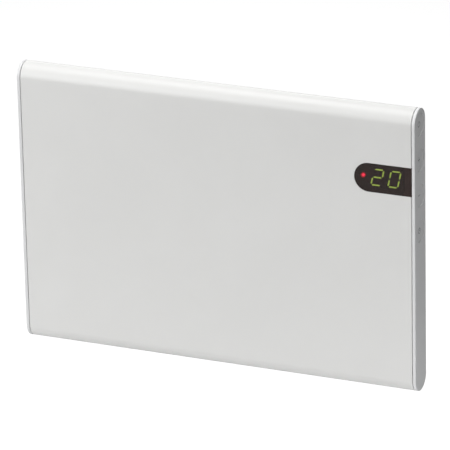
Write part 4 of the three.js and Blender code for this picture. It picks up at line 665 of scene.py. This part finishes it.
def back_panel():
    """The rear sheet with its vent slots and the holes for the gland and the screws."""
    left, right = -SPIGOT_END + SLOT_MARGIN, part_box("partition")[1].x - SHEET - SLOT_MARGIN
    count = int((right - left) / SLOT_PITCH) + 1
    first = (left + right - (count - 1) * SLOT_PITCH) / 2
    reach = SLOT_DROP + SLOT_RISE
    within = MID_Y + sqrt(END_RADIUS ** 2 - SLOT_RISE ** 2) - 2 * SHEET
    low = -ARC_Z - SLOT_RISE + reach / 2
    made = run_tree(
        back_panel_blank(), vent_tree(), Count=count, Pitch=SLOT_PITCH, First=(first, within, low),
        Row_Gap=-2 * low, Slot_Width=SLOT_WIDTH, Slot_Length=reach, Slot_Depth=REAR_Y + MM - within,
        Paint=PANEL_PAINT,
    )
    tools = []
    for node in ("mains_gland", *SCREWS):
        c, radius = middle(node), SCREW_HOLE if node in SCREWS else GLAND_HOLE
        tools.append(peg("y", radius, REAR_Y - 3 * MM, REAR_Y + MM, (c.x, 0, c.z), PANEL_PAINT, 40))
    return smooth(carve(made, tools), CRISP)


def casing_ring(x, inset):
    """The casing's outline at x, set in from its outer face."""
    radius = END_RADIUS - inset
    return [(x, y, z) for y, z in arc(ARC_Z, radius, 0, 180, 40) + arc(-ARC_Z, radius, 180, 360, 40)]


def cap_shell(name, side):
    """An end cap: a thin-walled cup with a rounded face and a spigot that enters the casing."""
    def at(inset):
        return side * (HALF - inset)
    spigot, groove, inner, edge = 1.5 * MM, 2.6 * MM, 3.3 * MM, 0.25 * MM
    foot = at(CAP_STRIP + SEAM_GAP + edge)
    rings = [(at(CAP_FACE), inner), (side * SPIGOT_END, inner), (side * SPIGOT_END, spigot),
             (foot, spigot), (foot, groove), (at(CAP_STRIP), groove), (at(CAP_STRIP), edge)]
    rings += [(at(CAP_STRIP - edge * (1 - cos(a))), edge * (1 - sin(a))) for a in turns(45, 90, 1)]
    rings += [(at(CAP_EDGE * (1 - sin(a))), CAP_EDGE * (1 - cos(a))) for a in turns(0, 90, 8)]
    made = loft(name, [casing_ring(x, inset) for x, inset in rings], CAP_PLASTIC)
    near, far = sorted((at(CAP_STRIP - FIT), at(-MM)))
    relief = block((near, REAR_Y - CAP_RELIEF, CAP_RELIEF_Z), (far, REAR_Y + MM, TOP_Z + MM), CAP_PLASTIC)
    carve(made, [relief])
    screws = [c for c in (middle(node) for node in SCREWS) if c.x * side > 0]
    carve(made, [
        block((c.x - BOSS_HALF, REAR_Y - 12.5 * MM, c.z - BOSS_HALF),
              (c.x + BOSS_HALF, REAR_Y - 2 * MM, c.z + BOSS_HALF), CAP_PLASTIC) for c in screws
    ], "UNION")
    return carve(made, [
        peg("y", PILOT_RADIUS, REAR_Y - 10 * MM, REAR_Y, (c.x, 0, c.z), CAP_PLASTIC) for c in screws
    ])


BUTTON_Z = [middle(name + "_button").z for name in BUTTONS]


def right_cap():
    """The right cap: round openings with collars inside, and pillars between them for the key board."""
    made = cap_shell("end_cap_right_shell", 1)
    under, root = HALF - COLLAR_DEPTH, HALF - CAP_FACE + 0.1 * MM
    inside = BUTTON_RADIUS + BUTTON_FLANGE + BUTTON_PLAY
    collar = [(inside, under), (inside + MM, under), (inside + MM, root), (inside, root)]
    joined = [lathe("collar", collar, "x", (0, MID_Y, z), CAP_PLASTIC, BUTTON_STEPS, True) for z in BUTTON_Z]
    joined += [peg("x", PILLAR_RADIUS, SPIGOT_END + 0.1 * MM, root, (0, MID_Y, (a + b) / 2), CAP_PLASTIC)
               for a, b in zip(BUTTON_Z[1:], BUTTON_Z[2:])]
    carve(made, joined, "UNION")
    radius, flare = BUTTON_RADIUS + BUTTON_PLAY, 0.25 * MM
    hole = [(radius, HALF - CAP_FACE - MM), (radius, HALF - flare), (radius + flare, HALF),
            (radius + 2 * flare, HALF + flare)]
    holes = [lathe("hole", hole, "x", (0, MID_Y, z), CAP_PLASTIC, BUTTON_STEPS) for z in BUTTON_Z]
    return smooth(carve(made, holes), CRISP)


def dish_depth(share):
    """Depth of a button's face at a share of its radius: sunk in its opening and slightly dished."""
    return -BUTTON_SUNK - BUTTON_DISH * (1 - share ** 2)


def button(name, z):
    """A round button with a dished face, a keeper flange behind the cap and a stem down to its switch."""
    reach = BUTTON_RADIUS - BUTTON_EDGE
    profile = [(reach * i / 16, dish_depth(i / 16)) for i in range(17)]
    profile += [(reach + BUTTON_EDGE * sin(a), -BUTTON_SUNK - BUTTON_EDGE * (1 - cos(a)))
                for a in turns(0, 90, 4)[1:]]
    flange, under, low = BUTTON_RADIUS + BUTTON_FLANGE, -CAP_FACE - FIT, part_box(name + "_button")[0].x - HALF
    profile += [(BUTTON_RADIUS, under), (flange, under), (flange, under - BUTTON_FLANGE),
                (BUTTON_STEM, under - BUTTON_FLANGE), (BUTTON_STEM, low), (0, low)]
    return lathe(name + "_button_cap", profile, "x", (HALF, MID_Y, z), BUTTON_PLASTIC, BUTTON_STEPS)


def stroke(bm, points, z, lift=0.06 * MM):
    """A dark line of painted shade on a button's dish, standing in for the shaded edge of an embossed sign,
    along (y, z) points from the button's centre.
    """
    reach = BUTTON_RADIUS - BUTTON_EDGE
    rows = []
    for i, p in enumerate(points):
        along = (Vector(points[min(i + 1, len(points) - 1)]) - Vector(points[max(i - 1, 0)])).normalized()
        beside = Vector((-along.y, along.x)) * MARK_WIDTH / 2
        rows.append([])
        for side, down in ((1, 0), (-1, 0), (-1, 2 * lift), (1, 2 * lift)):
            q = Vector(p) + side * beside
            rows[-1].append((HALF + dish_depth(min(q.length / reach, 1)) + lift - down, MID_Y + q.x, z + q.y))
    skin(bm, rows)


def line(start, end):
    return [tuple(a + (b - a) * i / 6 for a, b in zip(start, end)) for i in range(7)]


def button_mark(name, z):
    """The sign on each button, drawn in painted shade: standby, plus, minus and a clock."""
    r, clear = MARK_REACH, MARK_WIDTH / 2 + 0.05 * MM
    lines = {
        "standby": [around(0, 0, r, turns(125, 415, 24)), line((0, 0.3 * r), (0, 1.25 * r))],
        "plus": [line((-r, 0), (r, 0)), line((0, clear), (0, r)), line((0, -clear), (0, -r))],
        "minus": [line((-r, 0), (r, 0))],
        "timer": [around(0, 0, r, turns(0, 359.5, 24)), line((0, 0), (0, 0.72 * r)),
                  line((clear, 0), (0.55 * r, 0))],
    }[name]
    bm = bmesh.new()
    for points in lines:
        stroke(bm, points, z)
    return to_object(name + "_mark", bm, SIGN_PAINTED_SHADE)


# ---- display

def window_lens():
    """The smoked window: flush with the panel in front, with a rim behind it."""
    low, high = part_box("display_window")
    inner, sheet, tiny = SPIGOT_END - FIT, FRONT_Y + SHEET, 0.01 * MM
    right = HALF - CAP_STRIP - 3 * tiny
    steps = [(low.y, -WINDOW_GAP - WINDOW_EDGE, right - 4 * tiny), (low.y + WINDOW_EDGE, -WINDOW_GAP, right),
             (sheet, -WINDOW_GAP, right), (sheet + tiny, -WINDOW_GAP, inner),
             (sheet + FIT, -WINDOW_GAP, inner), (sheet + FIT + tiny, WINDOW_RIM, inner),
             (high.y, WINDOW_RIM, inner)]
    rings = [[(x, y, z) for x, z in window_outline(grow, right)] for y, grow, right in steps]
    return smooth(loft("smoked_window_lens", rings, SMOKED), 40)


SEGMENTS = {  # bars of a seven-bar digit: start and end corners on a unit cell, (x, z)
    "a": ((0, 1), (1, 1)), "b": ((1, 1), (1, 0.5)), "c": ((1, 0.5), (1, 0)), "d": ((0, 0), (1, 0)),
    "e": ((0, 0.5), (0, 0)), "f": ((0, 1), (0, 0.5)), "g": ((0, 0.5), (1, 0.5)),
}
SHOWN = {"2": "abged", "0": "abcdef"}


def digit_bar(bm, centre, bar):
    """One bar with pointed ends, leaning with its digit, slightly proud of the block's face."""
    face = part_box("digit_block")[0].y
    w, h = DIGIT_WIDTH - DIGIT_BAR, DIGIT_HEIGHT - DIGIT_BAR
    start, end = (Vector((centre[0] + (a - 0.5) * w, centre[1] + (b - 0.5) * h)) for a, b in SEGMENTS[bar])
    along = (end - start).normalized()
    beside, tip = Vector((-along.y, along.x)) * DIGIT_BAR / 2, along * DIGIT_BAR / 2
    start, end = start + along * DIGIT_GAP, end - along * DIGIT_GAP
    outline = [start, start + tip + beside, end - tip + beside, end, end - tip - beside, start + tip - beside]
    skin(bm, [[(p.x + DIGIT_LEAN * (p.y - centre[1]), y, p.y) for p in outline]
              for y in (face - DIGIT_PROUD, face + 0.05 * MM)])


def digit_bars(name, lit, finish):
    """All the lit bars of both digits, or all the unlit ones."""
    bm = bmesh.new()
    for digit, inset in DIGIT_FROM_FACE.items():
        for bar in SEGMENTS:
            if (bar in SHOWN[digit]) == lit:
                digit_bar(bm, (HALF - inset, middle("display_window").z + DIGIT_RISE), bar)
    return to_object(name, bm, finish)


def status_lamp():
    """The red lamp: a domed lens on a short collar."""
    r, tip = LAMP_RADIUS - 0.05 * MM, LAMP_LOW.y - LAMP_HIGH.y
    profile = [(0, 0), (LAMP_RADIUS, 0), (LAMP_RADIUS, -MM), (r, -MM)]
    profile += around(0, tip + r, r, turns(0, -90, 10))
    return lathe("status_lamp", profile, "y", (LAMP_AT.x, LAMP_HIGH.y, LAMP_AT.z), LIT_RED, 32)


# ---- bracket, hinges and clips

def channel(x0, x1, back, open_end, sheet, base, radius):
    """Section in (x, y) of a bent channel: its web at back, its flanges as far as open_end."""
    inner = back + base if open_end > back else back - base
    bend = radius - sheet + 0.2 * MM
    return rounded([
        (x0, open_end), (x0, back, radius), (x1, back, radius), (x1, open_end), (x1 - sheet, open_end),
        (x1 - sheet, inner, bend), (x0 + sheet, inner, bend), (x0 + sheet, open_end),
    ])


def long_hole(x, z):
    """Cutter for a wall screw's slot through a sheet against the wall."""
    half, up = SCREW_SLOT[0] / 2, SCREW_SLOT[1] / 2
    outline = rounded([(x + a * half, z + b * up, half * 0.999) for a, b in CORNERS], 8)
    return prism("long_hole", outline, "y", -POST_SHEET - MM, MM, ZINC)


def post_flange(node, pin, clip):
    """Side of a post in (y, z): a J hook that takes the pin, and a wide stretch that carries the clip."""
    low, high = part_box(node)
    catch = middle(clip).z
    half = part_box(clip)[1].z - catch + POST_SHEET
    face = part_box(clip)[1].y + FIT
    y, z = middle(pin).yz
    mouth, top, front = PIN_RADIUS + FIT, z + HOOK_RISE, -POST_DEPTH
    return rounded([
        (0, low.z), (0, high.z), (front, high.z, 4 * MM), (front, catch + half + 9 * MM, 4 * MM),
        (face, catch + half, MM), (face, catch - half, MM), (front, catch - half - 12 * MM, 6 * MM),
        (front, z + 20 * MM, 12 * MM), (y + mouth + 2 * MM, top, 2 * MM), (y + mouth, top - 2 * MM, MM),
        *around(y, z, mouth, turns(0, -180, 12)),
        (y - mouth, top - MM, 0.4 * MM), (y - HOOK_RADIUS + MM, top, 0.6 * MM),
        (y - HOOK_RADIUS, top - 2 * MM, MM), *around(y, z, HOOK_RADIUS, turns(180, 270, 8)),
        (y * 0.4, z - HOOK_RADIUS - 2 * MM, 20 * MM), (front + 4 * MM, low.z, 2 * MM),
    ])


def bracket_post(side_name):
    """A bent steel channel against the wall, with hooks below and a bridge for the clip above."""
    node, pin, clip = (part + side_name for part in ("bracket_post_", "hinge_pin_", "catch_clip_"))
    low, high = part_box(node)
    clip_low, clip_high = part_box(clip)
    section = channel(low.x, high.x, 0, low.y - MM, POST_SHEET, POST_SHEET, BEND)
    made = prism(node + "_channel", section, "z", low.z, high.z, ZINC)
    flange = prism("flange", post_flange(node, pin, clip), "x", low.x - MM, high.x + MM, ZINC)
    carve(made, [flange], "INTERSECT")
    face = clip_high.y + FIT
    carve(made, [block((low.x, face, clip_low.z - POST_SHEET),
                       (high.x, face + POST_SHEET, clip_high.z + POST_SHEET), ZINC)], "UNION")
    carve(made, [long_hole(middle(node).x, side * SCREW_UP) for side in (-1, 1)])
    return soften(made, 0.3 * MM)


def bracket_plate():
    """A shallow pressed tray with rounded bends and corners, slotted for two wall screws."""
    low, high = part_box("bracket_plate")

    def ring(y, inset):
        x0, x1, z0, z1 = low.x + inset, high.x - inset, low.z + inset, high.z - inset
        return [(x, y, z) for x, z in rounded(
            [(x, z, 5 * MM - inset) for x, z in ((x0, z0), (x1, z0), (x1, z1), (x0, z1))])]

    bend, inner = turns(0, 90, 5), BEND - POST_SHEET
    steps = [(BEND * (cos(a) - 1), BEND * (1 - sin(a))) for a in reversed(bend)]
    steps += [(low.y, 0), (low.y, POST_SHEET)]
    steps += [(inner * (sin(a) - 1) - POST_SHEET, inner * (1 - cos(a)) + POST_SHEET) for a in bend]
    made = loft("bracket_plate_tray", [ring(y, inset) for y, inset in steps], ZINC)
    carve(made, [long_hole(side * CROSS_SLOT_AT, 0) for side in (-1, 1)])
    return soften(made, 0.25 * MM)


def hinge_foot(node, pin):
    """A bent plate on the heater's rear with two ears that hold the pin."""
    low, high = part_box(node)
    y, z = middle(pin).yz
    plate, before, rise = low.y + 1.5 * MM, low.y - MM, (high.z - low.z) / 2 - 6 * MM
    made = prism(node + "_bent", channel(low.x, high.x, low.y, high.y + MM, FOOT_SHEET, 1.5 * MM, 2.4 * MM),
                 "z", low.z, high.z, ZINC)
    side = rounded([
        (before, low.z - MM), (plate, low.z - MM), (plate, z - rise, MM),
        *around(y, z, HOOK_RADIUS, turns(-90, 90, 12)),
        (plate, z + rise, MM), (plate, high.z + MM), (before, high.z + MM),
    ])
    carve(made, [prism("side", side, "x", low.x - MM, high.x + MM, ZINC)], "INTERSECT")
    carve(made, [peg("x", PIN_RADIUS + FIT, low.x - MM, high.x + MM, (0, y, z), ZINC, 40)])
    return soften(made, 0.2 * MM)


def hinge_pin(node):
    """A pin with a head at each end."""
    low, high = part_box(node)
    end, head, edge = (high.x - low.x) / 2, (high.z - low.z) / 2, 0.6 * MM
    under = end - 1.5 * MM
    profile = [(0, end), (head - edge, end), (head - 0.2 * edge, end - 0.3 * edge), (head, end - edge),
               (head, under), (PIN_RADIUS, under)]
    profile += [(r, -h) for r, h in reversed(profile)]
    return lathe(node + "_turned", profile, "x", middle(node), ZINC, 40)


def catch_clip(node):
    """A spring clip: two leaves with flared mouths, and an ear above and below."""
    low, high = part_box(node)
    z, tip, back, strip = middle(node).z, low.y, high.y, 0.8 * MM
    leaf, mouth, flare, front = 1.5 * MM, tip + 2.4 * MM, 1.68 * MM, back - strip
    half = [
        (back, high.z - z), (front, high.z - z), (front, leaf + strip, MM), (mouth, leaf + strip, 1.8 * MM),
        (tip, leaf + strip + flare), (tip, leaf + flare), (mouth, leaf, MM), (front, leaf, 0.3 * MM),
    ]
    lower = [(p[0], -p[1], *p[2:]) for p in reversed(half)]
    outline = rounded([(p[0], z + p[1], *p[2:]) for p in half + lower])
    return soften(prism(node + "_strip", outline, "x", low.x, high.x, SPRING_STEEL), 0.12 * MM)


def catch_tongue(node):
    """A bent angle whose free leg enters the clip."""
    low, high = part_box(node)
    outline = rounded([
        (low.y, low.z, 0.4 * MM), (low.y, high.z, 2.6 * MM),
        *in_mm([(0, 0, 0.7), (0, -2, 0.7)], high.y, high.z), *in_mm([(1.5, -2, 0.8)], low.y, high.z),
        *in_mm([(1.5, 0, 0.4)], low.y, low.z),
    ])
    return soften(prism(node + "_bent", outline, "x", low.x, high.x, ZINC), 0.2 * MM)


# ---- gland and screws

def place_copies(tree, ins, outs, points, turn):
    """Puts the group's piece on points, each copy turned about y, as one real mesh with its finish."""
    angle = put(tree, "ShaderNodeCombineXYZ")
    copies, real, finish = (
        put(tree, "GeometryNode" + kind) for kind in ("InstanceOnPoints", "RealizeInstances", "SetMaterial"))
    wire(
        tree,
        (*turn, angle, "Y"), (*points, copies, "Points"), (ins, "Geometry", copies, "Instance"),
        (angle, "Vector", copies, "Rotation"), (copies, "Instances", real, "Geometry"),
        (real, "Geometry", finish, "Geometry"), (ins, "Finish", finish, "Material"),
        (finish, "Geometry", outs, "Geometry"),
    )
    return tree


def ring_tree():
    """Geometry nodes: copies of a piece turned evenly round an axis along y."""
    tree, ins, outs = mesh_group("turned_copies", {"Count": 12, "Centre": (0, 0, 0), "Finish": "Material"})
    points = put(tree, "GeometryNodePoints")
    index = put(tree, "GeometryNodeInputIndex")
    share = put(tree, "ShaderNodeMath", operation="DIVIDE")
    turn = put(tree, "ShaderNodeMath", {1: 2 * pi}, operation="MULTIPLY")
    wire(
        tree,
        (ins, "Count", points, "Count"), (ins, "Centre", points, "Position"), (index, "Index", share, 0),
        (ins, "Count", share, 1), (share, "Value", turn, 0),
    )
    return place_copies(tree, ins, outs, (points, "Points"), (turn, "Value"))


def corner_tree():
    """Geometry nodes: one piece at each corner of an upright rectangle, each with its own turn."""
    tree, ins, outs = mesh_group("screw_corners", {
        "Span X": 0.5, "Span Z": 0.25, "Centre": (0, 0, 0), "Seed": 5, "Finish": "Material",
    })
    grid = put(tree, "GeometryNodeMeshGrid", {"Vertices X": 2, "Vertices Y": 2})
    stand = put(tree, "GeometryNodeTransform", {"Rotation": (pi / 2, 0, 0)})
    turn = put(tree, "FunctionNodeRandomValue", {3: pi}, data_type="FLOAT")
    wire(
        tree,
        (ins, "Span X", grid, "Size X"), (ins, "Span Z", grid, "Size Y"), (grid, "Mesh", stand, "Geometry"),
        (ins, "Centre", stand, "Translation"), (ins, "Seed", turn, "Seed"),
    )
    return place_copies(tree, ins, outs, (stand, "Geometry"), (turn, 1))


def mains_gland():
    """A strain relief: threaded neck, flange and a tapered tail with a rounded mouth."""
    low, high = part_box("mains_gland")
    x, z = middle("mains_gland").xz
    wide = (high.x - low.x) / 2 / MM
    profile = [(GLAND_BORE, low.y)]
    for i in range(5):
        profile += in_mm([(6.4, 0.4), (7, 0.9), (7, 1.1), (6.4, 1.6)], 0, low.y + i * 1.5 * MM)
    profile += in_mm([(7, -0.2), (7, 0), (wide - 0.4, 0), (wide, 0.4), (wide, 1.9), (wide - 0.3, 2.5),
                      (wide - 0.9, 2.8), (8.2, 3.2), (7, 4.4)], 0, REAR_Y + FIT)
    profile += in_mm([(5.3, -1.2), (5, -0.4), (4.5, 0)], 0, high.y)
    profile += [(GLAND_BORE + 0.5 * MM, high.y), (GLAND_BORE, high.y - 0.5 * MM)]
    return lathe("gland_body", profile, "y", (x, 0, z), BLACK_PLASTIC, 48, True)


def gland_ribs():
    """Grip ribs along the gland's tapered tail."""
    x, z = middle("mains_gland").xz
    side = in_mm([(3, 6.4), (3, 8.6, 0.5), (4.6, 7.6, 1)], REAR_Y + FIT)
    side += in_mm([(-1.4, 6, 0.4), (-1.4, 4.6)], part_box("mains_gland")[1].y)
    rib = prism("gland_ribs", rounded(side), "x", -0.45 * MM, 0.45 * MM, BLACK_PLASTIC)
    rib = bake(soften(rib, 0.15 * MM))
    return smooth(run_tree(rib, ring_tree(), Count=14, Centre=(x, 0, z), Finish=BLACK_PLASTIC))


def case_screws():
    """Four pan-head screws with cross recesses."""
    low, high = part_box("case_screw_1")
    face = REAR_Y + FIT
    radius, rise, length, shank = (high.z - low.z) / 2, high.y - face, face - low.y, 1.6 * MM
    profile = [(0, -length), (0.5 * shank, -length), (shank - 0.2 * MM, shank - length)]
    for i in range(int((length - shank) / MM) - 1):
        profile += in_mm([(1.25, 0.2), (1.6, 0.55), (1.6, 0.7), (1.25, 1.05)], 0, shank - length + i * MM)
    profile += [(shank, 0), (radius, 0)]
    profile += [(radius - 1.5 * MM * (1 - cos(a)), 0.5 * MM + (rise - 0.5 * MM) * sin(a))
                for a in turns(0, 90, 6)]
    screw = lathe("case_screws_set", profile + [(0, rise)], "y", (0, 0, 0), ZINC, 32)
    carve(screw, [block((-a, rise - 1.3 * MM, -b), (a, rise + MM, b), ZINC)
                  for a, b in in_mm([(1.9, 0.45), (0.45, 1.9)])])
    corners = [middle(node) for node in SCREWS]
    (x0, x1), (z0, z1) = ((min(c[i] for c in corners), max(c[i] for c in corners)) for i in (0, 2))
    return smooth(run_tree(
        screw, corner_tree(), Span_X=x1 - x0, Span_Z=z1 - z0, Centre=((x0 + x1) / 2, face, (z0 + z1) / 2),
        Seed=5, Finish=ZINC,
    ), CRISP)


# ---- build the front

seat(front_panel(), "heater", "white_steel", "front_panel")
seat(back_panel(), "heater", "white_steel", "back_panel")
seat(right_cap(), "heater", "white_plastic", "end_cap_right")
seat(smooth(cap_shell("end_cap_left_shell", -1), CRISP), "heater", "white_plastic", "end_cap_left")
for button_name, button_z in zip(BUTTONS, BUTTON_Z):
    body = button_name + "_button"
    seat(button(button_name, button_z), body, "white_plastic", body)
    seat(button_mark(button_name, button_z), body, "white_plastic")

seat(window_lens(), "heater", "smoked_window", "display_window")
seat(digit_bars("lit_bars", True, LIT_GREEN), "heater", "smoked_window")
seat(digit_bars("unlit_bars", False, UNLIT_BAR), "heater", "black_plastic")
seat(status_lamp(), "heater", "lamp_red", "status_led")

# ---- build the back

seat(bracket_plate(), "bracket", "zinc_steel", "bracket_plate")
for side_name in ("left", "right"):
    post, clip, foot, pin, tongue = (part + side_name for part in (
        "bracket_post_", "catch_clip_", "hinge_foot_", "hinge_pin_", "catch_tongue_"))
    seat(bracket_post(side_name), "bracket", "zinc_steel", post)
    seat(catch_clip(clip), "bracket", "spring_steel", clip)
    seat(hinge_foot(foot, pin), "heater", "zinc_steel", foot)
    seat(hinge_pin(pin), "heater", "zinc_steel", pin)
    seat(catch_tongue(tongue), "heater", "zinc_steel", tongue)
seat(mains_gland(), "heater", "black_plastic", "mains_gland")
seat(gland_ribs(), "heater", "black_plastic")
seat(case_screws(), "heater", "zinc_steel", *SCREWS)


# ---- stage, light and camera

def plain_floor():
    """A pale floor that reads as white to the camera and keeps the object's shadow."""
    bm = bmesh.new()
    bm.faces.new([bm.verts.new((a * FLOOR_REACH, b * FLOOR_REACH, FLOOR_Z)) for a, b in CORNERS])
    made, tree, shader = new_material(
        "pale_floor", Base_Color=(0.6, 0.6, 0.6, 1), Roughness=0.85, Emission_Color=(1, 1, 1, 1))
    path = put(tree, "ShaderNodeLightPath")
    lift = put(tree, "ShaderNodeMath", {1: FLOOR_GLOW}, operation="MULTIPLY")
    wire(tree, (path, "Is Camera Ray", lift, 0), (lift, "Value", shader, "Emission Strength"))
    to_object("pale_floor", bm, made)


def soft_world():
    """Even light from all round; the camera sees it as white."""
    world = bpy.data.worlds.new("studio")
    world.use_nodes = True
    tree = world.node_tree
    back = tree.nodes["Background"]
    path = put(tree, "ShaderNodeLightPath")
    seen = put(tree, "ShaderNodeMath", operation="MAXIMUM")
    strength = put(tree, "ShaderNodeMapRange", {"To Min": WORLD_LIGHT, "To Max": 1.0})
    back.inputs["Color"].default_value = (1, 1, 1, 1)
    wire(tree, (path, "Is Camera Ray", seen, 0), (path, "Is Transmission Ray", seen, 1),
         (seen, "Value", strength, "Value"), (strength, "Result", back, "Strength"))
    scene.world = world


def softbox(name, place, aim, size, power):
    light = bpy.data.lights.new(name, "AREA")
    light.shape, light.size, light.size_y, light.energy = "RECTANGLE", size[0], size[1], power
    lamp = add(name, light)
    lamp.location = place
    lamp.rotation_euler = (Vector(aim) - Vector(place)).to_track_quat("-Z", "Y").to_euler()


def studio_camera():
    turn, rise, roll = (radians(a) for a in (CAMERA_TURN, CAMERA_RISE, CAMERA_ROLL))
    look = Vector((-sin(turn) * cos(rise), cos(turn) * cos(rise), -sin(rise)))
    level = Vector((cos(turn), sin(turn), 0))
    upright = level.cross(look)
    right = cos(roll) * level + sin(roll) * upright
    up = -sin(roll) * level + cos(roll) * upright
    lens = bpy.data.cameras.new("photo_view")
    lens.sensor_fit, lens.sensor_width = "HORIZONTAL", 36
    lens.lens, lens.clip_end = 36 * CAMERA_FOCUS, 60
    camera = scene.camera = add("photo_view", lens)
    camera.matrix_world = Matrix.Translation(CAMERA_AT) @ Matrix((right, up, -look)).transposed().to_4x4()


plain_floor()
soft_world()
for lamp_name, lamp in LAMPS.items():
    softbox(lamp_name, *lamp)
studio_camera()

scene.view_settings.view_transform = "Standard"
